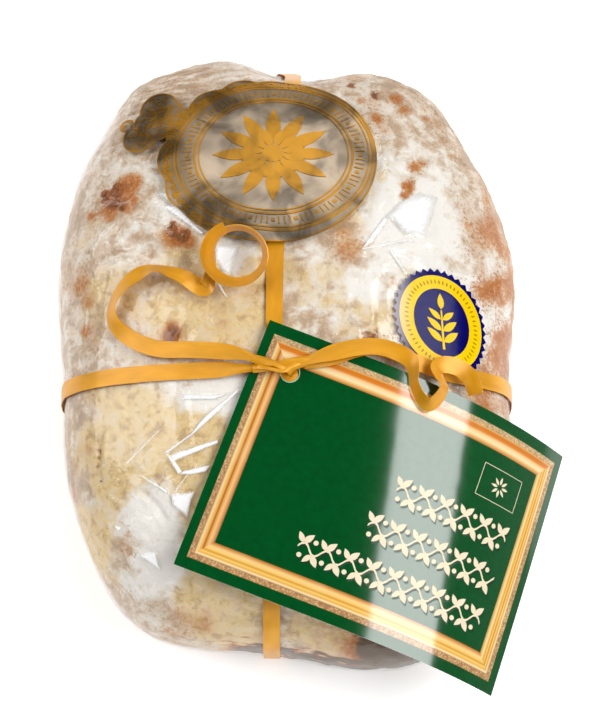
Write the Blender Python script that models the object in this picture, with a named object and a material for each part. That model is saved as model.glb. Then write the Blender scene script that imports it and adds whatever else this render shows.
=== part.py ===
"""A film-wrapped stollen with crossed ribbons, a hanging card, a foil seal and a round sticker.

The frame is in metres, with +X to the right, +Y to the far end and +Z up. The origin lies on
the flat underside of the loaf, below its middle.
"""

import math

import bmesh
import bpy
from mathutils import Matrix, Vector, noise
from mathutils.bvhtree import BVHTree

# The wrapped loaf: its plan is a superellipse, and so is its height over that plan.
LOAF_HALF_WIDTH = 0.0912
LOAF_HALF_LENGTH = 0.1247
LOAF_HEIGHT = 0.075
WAIST_HEIGHT = 0.027  # of the widest section
TUCK_DEPTH = 0.045  # how far the sides would run down if the base didn't cut them off
PLAN_POWER = 2.73
CROWN_POWER = 2.5
PLAN_SHEAR = -0.0594  # the left side sits farther than the right side
LOAF_MIDDLE_X = -0.002
LOAF_CUTS = 19
KNEAD_HEIGHT = 0.0007
KNEAD_SPACING = 0.034

# Swells and hollows of the loaf: centre, height along the normal, and reach.
SWELLS = (
    (Vector((0.088, 0.050, 0.030)), 0.0034, 0.026),
    (Vector((0.090, 0.034, 0.034)), 0.0024, 0.012),
    (Vector((0.048, 0.104, 0.033)), 0.0072, 0.019),
    (Vector((-0.034, 0.122, 0.036)), 0.0018, 0.014),
    (Vector((-0.074, 0.092, 0.036)), -0.0024, 0.011),
    (Vector((-0.093, 0.042, 0.032)), 0.0016, 0.016),
    (Vector((-0.093, -0.016, 0.030)), -0.0014, 0.016),
    (Vector((0.0885, -0.018, 0.030)), -0.0024, 0.014),
    (Vector((-0.016, -0.124, 0.030)), -0.0042, 0.022),
    (Vector((0.050, -0.114, 0.024)), 0.0060, 0.020),
    (Vector((0.0012, 0.124, 0.042)), -0.0125, 0.0115),  # the ribbon pulls the far end in
)

# Ribbons.
RIBBON_WIDTH = 0.0066
RIBBON_THICKNESS = 0.0004
GAP = 0.00035  # between touching pieces
GROOVE_DEPTH = 0.0016  # in the base, where both ribbons cross under the loaf
GROOVE_SIDE_GAP = 0.0006
LENGTHWISE_X = -0.0068  # of the lengthwise ribbon at Y = 0
LENGTHWISE_TURN = math.radians(0.5)
LENGTHWISE_SWAY = (0.020, 0.0062, 0.090)  # from this Y, how far to the right, and over what length
CROSSWISE_Y = -0.0178
CROSSWISE_SWAY = (0.031, 0.0085, 0.017)  # centre in X, how far to the far side, and reach
CROSSWISE_LIFT = RIBBON_THICKNESS + 2 * GAP  # it passes over the lengthwise ribbon
TOP_FROM = 0.050  # height over which a section counts as the top of the loaf
KNOT_LEFT_X = -0.0125
KNOT_RIGHT_X = 0.0030
SECTION_RAYS = 720
SECTION_STEP = 0.0012
MOST_STEP = 0.009
MOST_TURN = math.radians(3.5)
PINCH = 0.42  # width left where a ribbon runs into the knot
PINCH_LENGTH = 0.016

KNOT_CENTRE = Vector((-0.0048, -0.0172, 0.0801))
KNOT_HALF_SIZE = (0.0070, 0.0030, 0.0017)
KNOT_TURN = math.radians(-10)
TONGUE_SIZE = (0.0034, 0.0006, 0.0042)

# Card: a flat sheet that bends about lines that lie across it at a slant.
CARD_LENGTH = 0.1363
CARD_WIDTH = 0.1015
CARD_THICKNESS = 0.0004
CARD_CORNER = Vector((-0.0084, 0.0013, 0.0787))
CARD_TURNS = (math.radians(-21.1), math.radians(3.8), math.radians(1.6))  # yaw, pitch, roll
BEND_SLANT = math.radians(12.1)
BEND_FROM = 0.021
BEND_TO = 0.149
BEND_SLOPE = math.radians(49.7)
BEND_STRIPS = 22
HOLE_RADIUS = 0.0035
HOLE_PLACE = (0.0147, 0.0166)  # along the length and the width, from the corner

# Foil seal, laid over the lengthwise ribbon, and round sticker.
SEAL_CENTRE = Vector((-0.0094, 0.0700, 0.0703))
SEAL_FACING = Vector((-0.03, 0.22, 1.0))
SEAL_HALF_SIZE = (0.0430, 0.0376)
FINIAL_ANGLE = math.radians(156)
FINIAL_HALF_SPREAD = math.radians(14)
FINIAL_RADIUS = 0.0560
FINIAL_LOBE = 0.0030
STICKER_CENTRE = Vector((0.0582, 0.0030, 0.0674))
STICKER_FACING = Vector((0.34, 0.02, 1.0))
STICKER_HALF_SIZE = (0.0200, 0.0218)
STICKER_TEETH = 36
STICKER_TOOTH = 0.0008
FOIL_THICKNESS = 0.0003

# Tails: place of the ribbon's middle, and how far its face leans over, in degrees.
LEFT_ROUTE = (
    (-0.0125, -0.0160, 0.0808, 0),
    (-0.0170, -0.0135, 0.0803, 0),
    (-0.0255, -0.0115, 0.0792, 0),
    (-0.0395, -0.0100, 0.0765, 0),
    (-0.0510, -0.0090, 0.0738, 4),
    (-0.0610, -0.0050, 0.0715, 16),
    (-0.0690, 0.0022, 0.0690, 44),
    (-0.0702, 0.0098, 0.0690, 60),
    (-0.0659, 0.0172, 0.0712, 42),
    (-0.0600, 0.0211, 0.0738, 24),
    (-0.0530, 0.0229, 0.0762, 52),
    (-0.0466, 0.0209, 0.0775, 34),
    (-0.0416, 0.0187, 0.0778, 18),
    (-0.0373, 0.0160, 0.0770, 5),
    (-0.0340, 0.0147, 0.0770, -10),
    (-0.0322, 0.0175, 0.0784, -45),
)
LEFT_CURL_CENTRE = Vector((-0.0213, 0.0264, 0.0836))
LEFT_CURL_AXIS = Vector((-0.097, -0.350, 0.930))
LEFT_CURL_RADII = (0.0104, 0.0121)  # at its start and at its end
LEFT_CURL_SQUASH = 0.945
LEFT_CURL_RISE = 0.0052
LEFT_CURL_FLARE = (math.radians(22), math.radians(38))  # at its start and at its end
LEFT_CURL_FROM = math.radians(200)
LEFT_CURL_STEPS = 15  # of 30 degrees, clockwise from above
RIGHT_ROUTE = (
    (0.0030, -0.0170, 0.0812, 0),
    (0.0080, -0.0150, 0.0813, 0),
    (0.0165, -0.0122, 0.0811, 0),
    (0.0250, -0.0102, 0.0807, 0),
    (0.0330, -0.0098, 0.0802, 0),
    (0.0397, -0.0115, 0.0800, -4),
    (0.0452, -0.0147, 0.0799, -24),
    (0.0468, -0.0194, 0.0798, -52),
    (0.0470, -0.0240, 0.0796, -62),
    (0.0492, -0.0292, 0.0790, -60),
    (0.0528, -0.0322, 0.0780, -54),
    (0.0568, -0.0290, 0.0774, -58),
    (0.0586, -0.0248, 0.0772, -62),
    (0.0566, -0.0206, 0.0774, -56),
    (0.0558, -0.0172, 0.0772, -40),
    (0.0596, -0.0158, 0.0760, -14),
    (0.0648, -0.0168, 0.0742, -6),
    (0.0692, -0.0204, 0.0720, -22),
    (0.0712, -0.0262, 0.0700, -38),
)


def clear_scene():
    for leftover in list(bpy.data.objects):
        bpy.data.objects.remove(leftover, do_unlink=True)


def material(name, colour, roughness, metallic=0.0):
    finish = bpy.data.materials.new(name)
    finish.use_nodes = True
    shader = finish.node_tree.nodes["Principled BSDF"]
    shader.inputs["Base Color"].default_value = (*colour, 1.0)
    shader.inputs["Roughness"].default_value = roughness
    shader.inputs["Metallic"].default_value = metallic
    return finish


def add_object(name, bm, finish=None):
    """Turns the bmesh into a named object of the scene."""
    mesh = bpy.data.meshes.new(name)
    bm.to_mesh(mesh)
    bm.free()
    item = bpy.data.objects.new(name, mesh)
    bpy.context.scene.collection.objects.link(item)
    if finish:
        mesh.materials.append(finish)
        mesh.shade_smooth()
        mesh.set_sharp_from_angle(angle=math.radians(35))
    return item


def add_cutter(name, bm):
    cutter = add_object(name, bm)
    cutter.hide_render = True
    cutter.display_type = "WIRE"
    return cutter


def cut(item, cutter, operation="DIFFERENCE"):
    boolean = item.modifiers.new(cutter.name, "BOOLEAN")
    boolean.operation = operation
    boolean.solver = "EXACT"
    boolean.object = cutter


def thicken(item, thickness, offset):
    solidify = item.modifiers.new("wall", "SOLIDIFY")
    solidify.thickness = thickness
    solidify.offset = offset


def surface_of(item):
    """The finished surface of an object, for laying other pieces on it."""
    bpy.context.view_layer.update()
    return BVHTree.FromObject(item, bpy.context.evaluated_depsgraph_get())


def ease(share):
    share = min(max(share, 0.0), 1.0)
    return share * share * (3.0 - 2.0 * share)


def loaf_place(cube):
    """Where a point of the cube from -1 to 1 goes on the loaf, before its swells."""
    across = (abs(cube.x) ** PLAN_POWER + abs(cube.y) ** PLAN_POWER) ** (1 / PLAN_POWER)
    scale = (across**CROWN_POWER + abs(cube.z) ** CROWN_POWER) ** (-1 / CROWN_POWER)
    half_height = LOAF_HEIGHT - WAIST_HEIGHT if cube.z > 0 else TUCK_DEPTH
    x = cube.x * scale * LOAF_HALF_WIDTH
    y = cube.y * scale * LOAF_HALF_LENGTH + PLAN_SHEAR * x
    return Vector((x + LOAF_MIDDLE_X, y, WAIST_HEIGHT + cube.z * scale * half_height))


def swell(place):
    """How far the surface stands out at a place."""
    height = KNEAD_HEIGHT * noise.noise(place / KNEAD_SPACING)
    for centre, peak, reach in SWELLS:
        height += peak * math.exp(-((place - centre).length_squared) / (2 * reach * reach))
    return height


def make_loaf():
    bm = bmesh.new()
    bmesh.ops.create_cube(bm, size=2.0)
    bmesh.ops.subdivide_edges(bm, edges=bm.edges, cuts=LOAF_CUTS, use_grid_fill=True)
    for vertex in bm.verts:
        vertex.co = loaf_place(vertex.co)
    bm.normal_update()
    moves = [(vertex, vertex.normal * swell(vertex.co)) for vertex in bm.verts]
    for vertex, move in moves:
        vertex.co += move
    base = bmesh.ops.bisect_plane(
        bm, geom=bm.verts[:] + bm.edges[:] + bm.faces[:], dist=1e-6,
        plane_co=(0, 0, 0), plane_no=(0, 0, -1), clear_outer=True,
    )
    rim = [edge for edge in base["geom_cut"] if isinstance(edge, bmesh.types.BMEdge)]
    bmesh.ops.contextual_create(bm, geom=rim)
    bmesh.ops.recalc_face_normals(bm, faces=bm.faces)
    loaf = add_object("wrapped_stollen", bm, material("film over stollen", (0.80, 0.70, 0.52), 0.35))
    groove_width = RIBBON_WIDTH + 2 * GROOVE_SIDE_GAP
    lengthwise = Matrix.Translation((LENGTHWISE_X, 0, 0)) @ Matrix.Rotation(-LENGTHWISE_TURN, 4, "Z")
    crosswise = Matrix.Translation((0, CROSSWISE_Y, 0))
    long_side = 4 * LOAF_HALF_LENGTH
    cut(loaf, groove_cutter("lengthwise_groove", lengthwise, (groove_width, long_side)))
    cut(loaf, groove_cutter("crosswise_groove", crosswise, (long_side, groove_width)))
    return loaf


def groove_cutter(name, place, plan):
    bm = bmesh.new()
    size = Matrix.Diagonal((plan[0], plan[1], 2 * GROOVE_DEPTH, 1))
    bmesh.ops.create_cube(bm, size=1.0, matrix=place @ size)
    return add_cutter(name, bm)


def card_bend(along):
    """Shift and drop of the card at a distance along its bend, as a slope that grows evenly."""
    shift = drop = 0.0
    steps = 60
    for step in range(steps):
        middle = along * (step + 0.5) / steps
        slope = BEND_SLOPE * ease((middle - BEND_FROM) / (BEND_TO - BEND_FROM))
        shift += math.cos(slope) * along / steps
        drop += math.sin(slope) * along / steps
    return shift, drop


def bend_card(bm):
    """Bends the flat card, which lies from its corner along +X and -Y, and puts it in its place."""
    across = Vector((math.cos(BEND_SLANT), math.sin(BEND_SLANT), 0))
    along = Vector((math.sin(BEND_SLANT), -math.cos(BEND_SLANT), 0))
    yaw, pitch, roll = CARD_TURNS
    turn = Matrix.Rotation(yaw, 3, "Z") @ Matrix.Rotation(pitch, 3, "X") @ Matrix.Rotation(roll, 3, "Y")
    for vertex in bm.verts:
        shift, drop = card_bend(vertex.co.dot(across))
        bent = across * shift + along * vertex.co.dot(along) + Vector((0, 0, vertex.co.z - drop))
        vertex.co = turn @ bent + CARD_CORNER


def make_card():
    """A sheet cut into strips along the bend's lines, so that each strip stays flat."""
    across = Vector((math.cos(BEND_SLANT), math.sin(BEND_SLANT), 0))
    bm = bmesh.new()
    size = Matrix.Diagonal((CARD_LENGTH, CARD_WIDTH, 1, 1))
    middle = Matrix.Translation((CARD_LENGTH / 2, -CARD_WIDTH / 2, 0))
    bmesh.ops.create_grid(bm, x_segments=1, y_segments=4, size=0.5, matrix=middle @ size)
    for strip in range(BEND_STRIPS):
        line = BEND_FROM + (CARD_LENGTH - BEND_FROM) * strip / BEND_STRIPS
        bmesh.ops.bisect_plane(
            bm, geom=bm.verts[:] + bm.edges[:] + bm.faces[:], dist=1e-6,
            plane_co=across * line, plane_no=across,
        )
    bend_card(bm)
    card = add_object("tag_card", bm, material("card", (0.0, 0.09, 0.02), 0.25))
    thicken(card, CARD_THICKNESS, 0.0)
    bm = bmesh.new()
    bmesh.ops.create_cone(
        bm, cap_ends=True, segments=28, radius1=HOLE_RADIUS, radius2=HOLE_RADIUS, depth=0.01,
        matrix=Matrix.Translation((HOLE_PLACE[0], -HOLE_PLACE[1], 0)),
    )
    bend_card(bm)
    cut(card, add_cutter("card_hole", bm))
    return card


def outer_hit(surfaces, start, towards):
    """The first point met by a line of sight from outside, over all the surfaces."""
    hits = [surface.ray_cast(start, towards) for surface in surfaces]
    hits = [hit for hit in hits if hit[0] is not None]
    return min(hits, key=lambda hit: hit[3])[0] if hits else None


def taut(points):
    """The convex outline round points of a plane, which is how a taut ribbon lies."""
    points = sorted(points)
    outline = []
    for run in (points, points[::-1]):
        chain = []
        for x, y in run:
            while len(chain) > 1:
                (x0, y0), (x1, y1) = chain[-2:]
                if (x1 - x0) * (y - y0) - (y1 - y0) * (x - x0) > 0:
                    break
                chain.pop()
            chain.append((x, y))
        outline += chain[:-1]
    return outline


def even_steps(outline):
    """Points at even steps round a closed outline."""
    corners = [Vector(corner) for corner in outline]
    sides = [corners[(i + 1) % len(corners)] - corners[i] for i in range(len(corners))]
    length = sum(side.length for side in sides)
    count = round(length / SECTION_STEP)
    places = []
    for index in range(count):
        left = length * index / count
        side = 0
        while left > sides[side].length:
            left -= sides[side].length
            side += 1
        places.append(corners[side] + sides[side].normalized() * left)
    return places


def lift_off(outline, lift):
    """The closed outline moved outwards, corner by corner."""
    lifted = []
    for index, place in enumerate(outline):
        come = (place - outline[index - 1]).normalized()
        go = (outline[(index + 1) % len(outline)] - place).normalized()
        along = (come + go).normalized()
        lifted.append(place + Vector((along.y, -along.x)) * lift / along.dot(go))
    return lifted


def thin_out(places):
    """Drops the places where a run stays nearly straight, and keeps both ends."""
    kept = [places[0]]
    heading = places[1] - places[0]
    for place, ahead in zip(places[1:-1], places[2:]):
        turned = (ahead - place).angle(heading)
        if turned > MOST_TURN or (place - kept[-1]).length > MOST_STEP:
            kept.append(place)
            heading = ahead - place
    return [*kept, places[-1]]


def band_section(surfaces, origin, ahead, width_way, sway):
    """The outline of what a ribbon wraps, in the plane of the ribbon."""
    found = []
    for index in range(SECTION_RAYS):
        angle = math.tau * index / SECTION_RAYS
        towards = ahead * math.cos(angle) + Vector((0, 0, math.sin(angle)))
        for side in (-0.5, 0.0, 0.5):
            start = origin + towards * 0.3 + width_way * side * RIBBON_WIDTH
            start += width_way * sway(start.dot(ahead), start.z)
            hit = outer_hit(surfaces, start, -towards)
            found.append((hit.dot(ahead), hit.z))
    return even_steps(taut(found))


def ribbon_strip(name, rows, finish, closed=False, offset=1.0):
    """A flat ribbon drawn out from its first row's edge; each row holds its two edge points."""
    bm = bmesh.new()
    edge = bm.edges.new([bm.verts.new(point) for point in rows[0]])
    first = list(edge.verts)
    last = first
    for row in rows[1:]:
        grown = bmesh.ops.extrude_edge_only(bm, edges=[edge])["geom"]
        edge = next(item for item in grown if isinstance(item, bmesh.types.BMEdge))
        last = list(edge.verts)
        for vertex, point in zip(last, row):
            vertex.co = point
    if closed:
        bmesh.ops.contextual_create(bm, geom=[last[0], last[1], first[1], first[0]])
        bmesh.ops.recalc_face_normals(bm, faces=bm.faces)
    ribbon = add_object(name, bm, finish)
    thicken(ribbon, RIBBON_THICKNESS, offset)
    return ribbon


def lengthwise_sway(along, height):
    """The lengthwise ribbon drifts to the right under the seal."""
    start, most, length = LENGTHWISE_SWAY
    return most * ease((along - start) / length) * ease((height - 0.006) / 0.030)


def make_lengthwise(loaf_surface, finish):
    ahead = Vector((math.sin(LENGTHWISE_TURN), math.cos(LENGTHWISE_TURN), 0))
    width_way = Vector((ahead.y, -ahead.x, 0))
    origin = Vector((LENGTHWISE_X, 0, WAIST_HEIGHT))
    section = band_section([loaf_surface], origin, ahead, width_way, lengthwise_sway)
    side_shift = width_way * origin.dot(width_way)
    half = width_way * RIBBON_WIDTH / 2
    rows = []
    for along, height in lift_off(thin_out(section), GAP):
        middle = ahead * along + Vector((0, 0, height)) + side_shift
        middle += width_way * lengthwise_sway(along, height)
        rows.append((middle - half, middle + half))
    return ribbon_strip("ribbon_lengthwise", rows, finish, closed=True)


def crosswise_sway(along, height):
    """The crosswise ribbon swings to the far side where it leaves the knot to the right."""
    centre, depth, reach = CROSSWISE_SWAY
    swing = depth * math.exp(-(((along - centre) / reach) ** 2))
    return -swing * ease((height - TOP_FROM) / 0.01)


def make_crosswise(surfaces, finish):
    """An open band that leaves the knot to the left and comes back to it from the right."""
    width_way = Vector((0, -1, 0))
    origin = Vector((0, CROSSWISE_Y, WAIST_HEIGHT))
    section = band_section(surfaces, origin, Vector((1, 0, 0)), width_way, crosswise_sway)
    loop = lift_off(section, CROSSWISE_LIFT)
    in_knot = [z > TOP_FROM and KNOT_LEFT_X < x < KNOT_RIGHT_X for x, z in loop]
    first = next(i for i in range(len(loop)) if in_knot[i - 1] and not in_knot[i])
    open_loop = thin_out([place for place in loop[first:] + loop[:first] if not in_knot[loop.index(place)]])
    steps = [0.0] + [(b - a).length for a, b in zip(open_loop, open_loop[1:])]
    rows = []
    for index, (x, z) in enumerate(open_loop):
        from_end = min(sum(steps[: index + 1]), sum(steps[index + 1 :]))
        share = PINCH + (1 - PINCH) * ease(from_end / PINCH_LENGTH)
        middle = Vector((x, CROSSWISE_Y - crosswise_sway(x, z), z))
        half = width_way * RIBBON_WIDTH / 2 * share
        rows.append((middle - half, middle + half))
    return ribbon_strip("ribbon_crosswise", rows, finish)


def smooth_route(points, per_span):
    """Points of the smooth curve through the route's own points."""
    padded = [points[0], *points, points[-1]]
    route = []
    for before, here, ahead, after in zip(padded, padded[1:], padded[2:], padded[3:]):
        for step in range(per_span):
            t = step / per_span
            route.append(
                [
                    0.5 * (2 * b + (c - a) * t + (2 * a - 5 * b + 4 * c - d) * t * t
                           + (3 * b - a - 3 * c + d) * t**3)
                    for a, b, c, d in zip(before, here, ahead, after)
                ]
            )
    route.append(list(points[-1]))
    return route


def curl_frame():
    axis = LEFT_CURL_AXIS.normalized()
    across = Vector((1, 0, 0)) - axis * axis.x
    return axis, across.normalized(), axis.cross(across).normalized()


def curl_route():
    """The round curl of the left tail, which widens as it rises."""
    axis, across, ahead = curl_frame()
    start, end = LEFT_CURL_RADII
    route = []
    for step in range(LEFT_CURL_STEPS + 1):
        share = step / LEFT_CURL_STEPS
        angle = LEFT_CURL_FROM - math.radians(30) * step
        radius = start + (end - start) * share
        place = LEFT_CURL_CENTRE + axis * LEFT_CURL_RISE * (share - 0.5)
        place += (across * math.cos(angle) + ahead * math.sin(angle) * LEFT_CURL_SQUASH) * radius
        route.append((*place, -70))
    return route


def curl_width_way(place, share):
    """The curl's ribbon stands on edge and flares outwards."""
    axis, _, _ = curl_frame()
    out = place - LEFT_CURL_CENTRE
    out -= axis * out.dot(axis)
    start, end = LEFT_CURL_FLARE
    flare = start + (end - start) * share * share
    return -(axis * math.cos(flare) + out.normalized() * math.sin(flare))


def make_tail(name, route, finish, curl_from=None):
    """A free ribbon tail along its route, pinched where it leaves the knot."""
    upward = Vector((0, 0, 1))
    per_span = 2
    points = smooth_route(route, per_span)
    places = [Vector(point[:3]) for point in points]
    rows = []
    walked = 0.0
    for index, place in enumerate(places):
        before = places[max(index - 1, 0)]
        after = places[min(index + 1, len(places) - 1)]
        walked += (place - before).length
        heading = (after - before).normalized()
        side = heading.cross(upward).normalized()
        lean = math.radians(points[index][3])
        width_way = side * math.cos(lean) + side.cross(heading) * math.sin(lean)
        if curl_from is not None:
            walked_curl = index / per_span - curl_from
            way = curl_width_way(place, min(max(walked_curl / LEFT_CURL_STEPS, 0.0), 1.0))
            width_way = width_way.lerp(way, ease((walked_curl + 0.5) / 1.5))
            width_way = (width_way - heading * width_way.dot(heading)).normalized()
        share = PINCH + (1 - PINCH) * ease(walked / PINCH_LENGTH)
        half = width_way * RIBBON_WIDTH / 2 * share
        rows.append((place - half, place + half))
    return ribbon_strip(name, rows, finish, offset=0.0)


def make_knot(finish):
    """A small twisted lump, with a tongue that goes down through the card's hole."""
    bm = bmesh.new()
    bmesh.ops.create_uvsphere(bm, u_segments=16, v_segments=10, radius=1.0)
    for vertex in bm.verts:
        angle = math.atan2(vertex.co.z, vertex.co.y) + 2.5 * vertex.co.x
        ridge = 1.0 + 0.12 * math.cos(3 * angle)
        vertex.co = Vector((vertex.co.x, vertex.co.y * ridge, vertex.co.z * ridge))
    turn = Matrix.Translation(KNOT_CENTRE) @ Matrix.Rotation(KNOT_TURN, 4, "Z")
    bmesh.ops.transform(bm, matrix=turn @ Matrix.Diagonal((*KNOT_HALF_SIZE, 1)), verts=bm.verts)
    knot = add_object("ribbon_knot", bm, finish)
    hole = hole_centre()
    bm = bmesh.new()
    middle = Vector((hole.x, hole.y + 0.0015, KNOT_CENTRE.z - TONGUE_SIZE[2] / 2))
    size = Matrix.Diagonal((*TONGUE_SIZE, 1))
    bmesh.ops.create_cube(bm, size=1.0, matrix=Matrix.Translation(middle) @ size)
    cut(knot, add_cutter("knot_tongue", bm), "UNION")
    return knot


def hole_centre():
    bm = bmesh.new()
    bm.verts.new((HOLE_PLACE[0], -HOLE_PLACE[1], 0))
    bend_card(bm)
    place = next(iter(bm.verts)).co.copy()
    bm.free()
    return place


def facing_matrix(centre, facing):
    """A place whose Z points along the facing direction, and whose X stays level."""
    z = facing.normalized()
    y = z.cross(Vector((1, 0, 0))).normalized()
    x = y.cross(z)
    return Matrix.Translation(centre) @ Matrix((x, y, z)).transposed().to_4x4()


def lay_sheet(name, surface, place, outline, cells, lift, finish):
    """A thin sheet that follows the surface, cut to the outline."""
    reach = max(max(abs(x), abs(y)) for x, y in outline) + 0.004
    down = -(place.to_3x3() @ Vector((0, 0, 1)))
    bm = bmesh.new()
    bmesh.ops.create_grid(bm, x_segments=cells, y_segments=cells, size=reach)
    places = []
    for vertex in bm.verts:
        start = place @ (vertex.co + Vector((0, 0, 0.08)))
        hit, normal, _, _ = surface.ray_cast(start, down)
        places.append(hit + normal * lift if hit else None)
    for vertex, target in zip(list(bm.verts), places):
        if target is None:
            bm.verts.remove(vertex)
        else:
            vertex.co = target
    sheet = add_object(name, bm, finish)
    thicken(sheet, FOIL_THICKNESS, 1.0)
    bm = bmesh.new()
    rim = bm.faces.new([bm.verts.new((x, y, -0.06)) for x, y in outline])
    grown = bmesh.ops.extrude_face_region(bm, geom=[rim])["geom"]
    top = [item for item in grown if isinstance(item, bmesh.types.BMVert)]
    bmesh.ops.translate(bm, vec=(0, 0, 0.12), verts=top)
    bmesh.ops.recalc_face_normals(bm, faces=bm.faces)
    bmesh.ops.transform(bm, matrix=place, verts=bm.verts)
    cut(sheet, add_cutter(name + "_die", bm), "INTERSECT")
    return sheet


def seal_outline():
    """An oval with a three-lobed finial on its far left edge."""
    half_width, half_length = SEAL_HALF_SIZE
    outline = []
    count = 120
    for index in range(count):
        angle = math.tau * index / count
        radius = 1 / math.hypot(math.cos(angle) / half_width, math.sin(angle) / half_length)
        off = angle - FINIAL_ANGLE
        if abs(off) < FINIAL_HALF_SPREAD:
            lobes = abs(math.cos(1.5 * math.pi * off / FINIAL_HALF_SPREAD))
            radius = FINIAL_RADIUS + FINIAL_LOBE * lobes
        outline.append((radius * math.cos(angle), radius * math.sin(angle)))
    return outline


def sticker_outline():
    outline = []
    for index in range(2 * STICKER_TEETH):
        angle = math.pi * index / STICKER_TEETH
        share = 1 - STICKER_TOOTH / STICKER_HALF_SIZE[0] * (index % 2)
        outline.append(
            (STICKER_HALF_SIZE[0] * share * math.cos(angle), STICKER_HALF_SIZE[1] * share * math.sin(angle))
        )
    return outline


def main():
    clear_scene()
    ribbon = material("gold ribbon", (0.83, 0.45, 0.03), 0.3)
    loaf_surface = surface_of(make_loaf())
    card_surface = surface_of(make_card())
    make_lengthwise(loaf_surface, ribbon)
    make_crosswise([loaf_surface, card_surface], ribbon)
    make_knot(ribbon)
    make_tail("ribbon_tail_left", (*LEFT_ROUTE, *curl_route()), ribbon, curl_from=len(LEFT_ROUTE))
    make_tail("ribbon_tail_right", RIGHT_ROUTE, ribbon)
    lay_sheet(
        "seal_oval", loaf_surface, facing_matrix(SEAL_CENTRE, SEAL_FACING), seal_outline(), 20,
        RIBBON_THICKNESS + 3 * GAP, material("seal foil", (0.20, 0.18, 0.15), 0.35, 0.6),
    )
    lay_sheet(
        "sticker_round", loaf_surface, facing_matrix(STICKER_CENTRE, STICKER_FACING),
        sticker_outline(), 9, GAP, material("sticker", (0.05, 0.04, 0.35), 0.3),
    )


main()
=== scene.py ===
"""A gift-wrapped stollen: a sugared loaf in tight clear film, with crossed gold ribbons, their
free tails, a hanging card, a foil seal and a round sticker.

Every piece is made round the fixed frame, in its coordinates: metres, with +X to the right,
+Y to the far end and +Z up, and the origin on the underside of the loaf.
"""

import math
import random

import bmesh
import bpy
from bpy.props import FloatProperty, FloatVectorProperty, IntProperty, PointerProperty
from mathutils import Matrix, Vector, noise
from mathutils.bvhtree import BVHTree


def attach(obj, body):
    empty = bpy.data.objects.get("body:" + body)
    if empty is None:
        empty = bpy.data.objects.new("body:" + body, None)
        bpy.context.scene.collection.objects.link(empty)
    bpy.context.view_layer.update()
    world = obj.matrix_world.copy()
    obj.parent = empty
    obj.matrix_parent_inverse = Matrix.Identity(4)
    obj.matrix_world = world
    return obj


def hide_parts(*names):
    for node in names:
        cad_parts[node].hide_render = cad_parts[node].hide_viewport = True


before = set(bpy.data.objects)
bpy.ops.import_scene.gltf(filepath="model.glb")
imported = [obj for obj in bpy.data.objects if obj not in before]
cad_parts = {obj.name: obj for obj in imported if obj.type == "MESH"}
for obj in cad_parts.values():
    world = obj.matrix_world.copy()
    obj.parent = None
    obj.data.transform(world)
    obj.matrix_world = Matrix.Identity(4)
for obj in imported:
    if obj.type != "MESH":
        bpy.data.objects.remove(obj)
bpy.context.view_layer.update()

bl_info = {
    "name": "Gift-Wrapped Stollen",
    "version": (1, 0, 0),
    "blender": (4, 5, 0),
    "location": "3D View > Sidebar > Stollen",
    "description": "Makes a film-wrapped stollen with its ribbons, card, seal and sticker",
    "category": "Object",
}

# The wrapped loaf: its plan is a superellipse, and so is its height over that plan.
LOAF_HALF_WIDTH = 0.0912
LOAF_HALF_LENGTH = 0.1247
LOAF_HEIGHT = 0.075
WAIST_HEIGHT = 0.027  # of the widest section
TUCK_DEPTH = 0.045  # how far the sides would run down if the base didn't cut them off
PLAN_POWER = 2.73
CROWN_POWER = 2.5
PLAN_SHEAR = -0.0594  # the left side sits farther than the right side
LOAF_MIDDLE_X = -0.002
KNEAD_HEIGHT = 0.0007
KNEAD_SPACING = 0.034

# Swells and hollows of the loaf: centre, height along the normal, and reach.
SWELLS = (
    (Vector((0.088, 0.050, 0.030)), 0.0034, 0.026),
    (Vector((0.090, 0.034, 0.034)), 0.0024, 0.012),
    (Vector((0.048, 0.104, 0.033)), 0.0072, 0.019),
    (Vector((-0.034, 0.122, 0.036)), 0.0018, 0.014),
    (Vector((-0.074, 0.092, 0.036)), -0.0024, 0.011),
    (Vector((-0.093, 0.042, 0.032)), 0.0016, 0.016),
    (Vector((-0.093, -0.016, 0.030)), -0.0014, 0.016),
    (Vector((0.0885, -0.018, 0.030)), -0.0024, 0.014),
    (Vector((-0.016, -0.124, 0.030)), -0.0042, 0.022),
    (Vector((0.050, -0.114, 0.024)), 0.0060, 0.020),
    (Vector((0.0012, 0.124, 0.042)), -0.0125, 0.0115),  # the ribbon pulls the far end in
)

# Where the film alone swells: centre, how far, and reach.
FILM_SWELLS = (
    (Vector((-0.066, 0.110, 0.036)), 0.0030, 0.014),
    (Vector((-0.056, -0.112, 0.034)), 0.0040, 0.018),
    (Vector((0.077, 0.060, 0.046)), -0.0014, 0.020),
)

# Where the film stands off the loaf: centre, how far, and reach.
SLACK = (
    (Vector((0.040, 0.112, 0.035)), 0.0045, 0.020),
    (Vector((0.068, 0.092, 0.035)), 0.0030, 0.016),
    (Vector((0.088, 0.040, 0.030)), 0.0022, 0.020),
    (Vector((-0.040, 0.118, 0.040)), 0.0020, 0.018),
)

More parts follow.
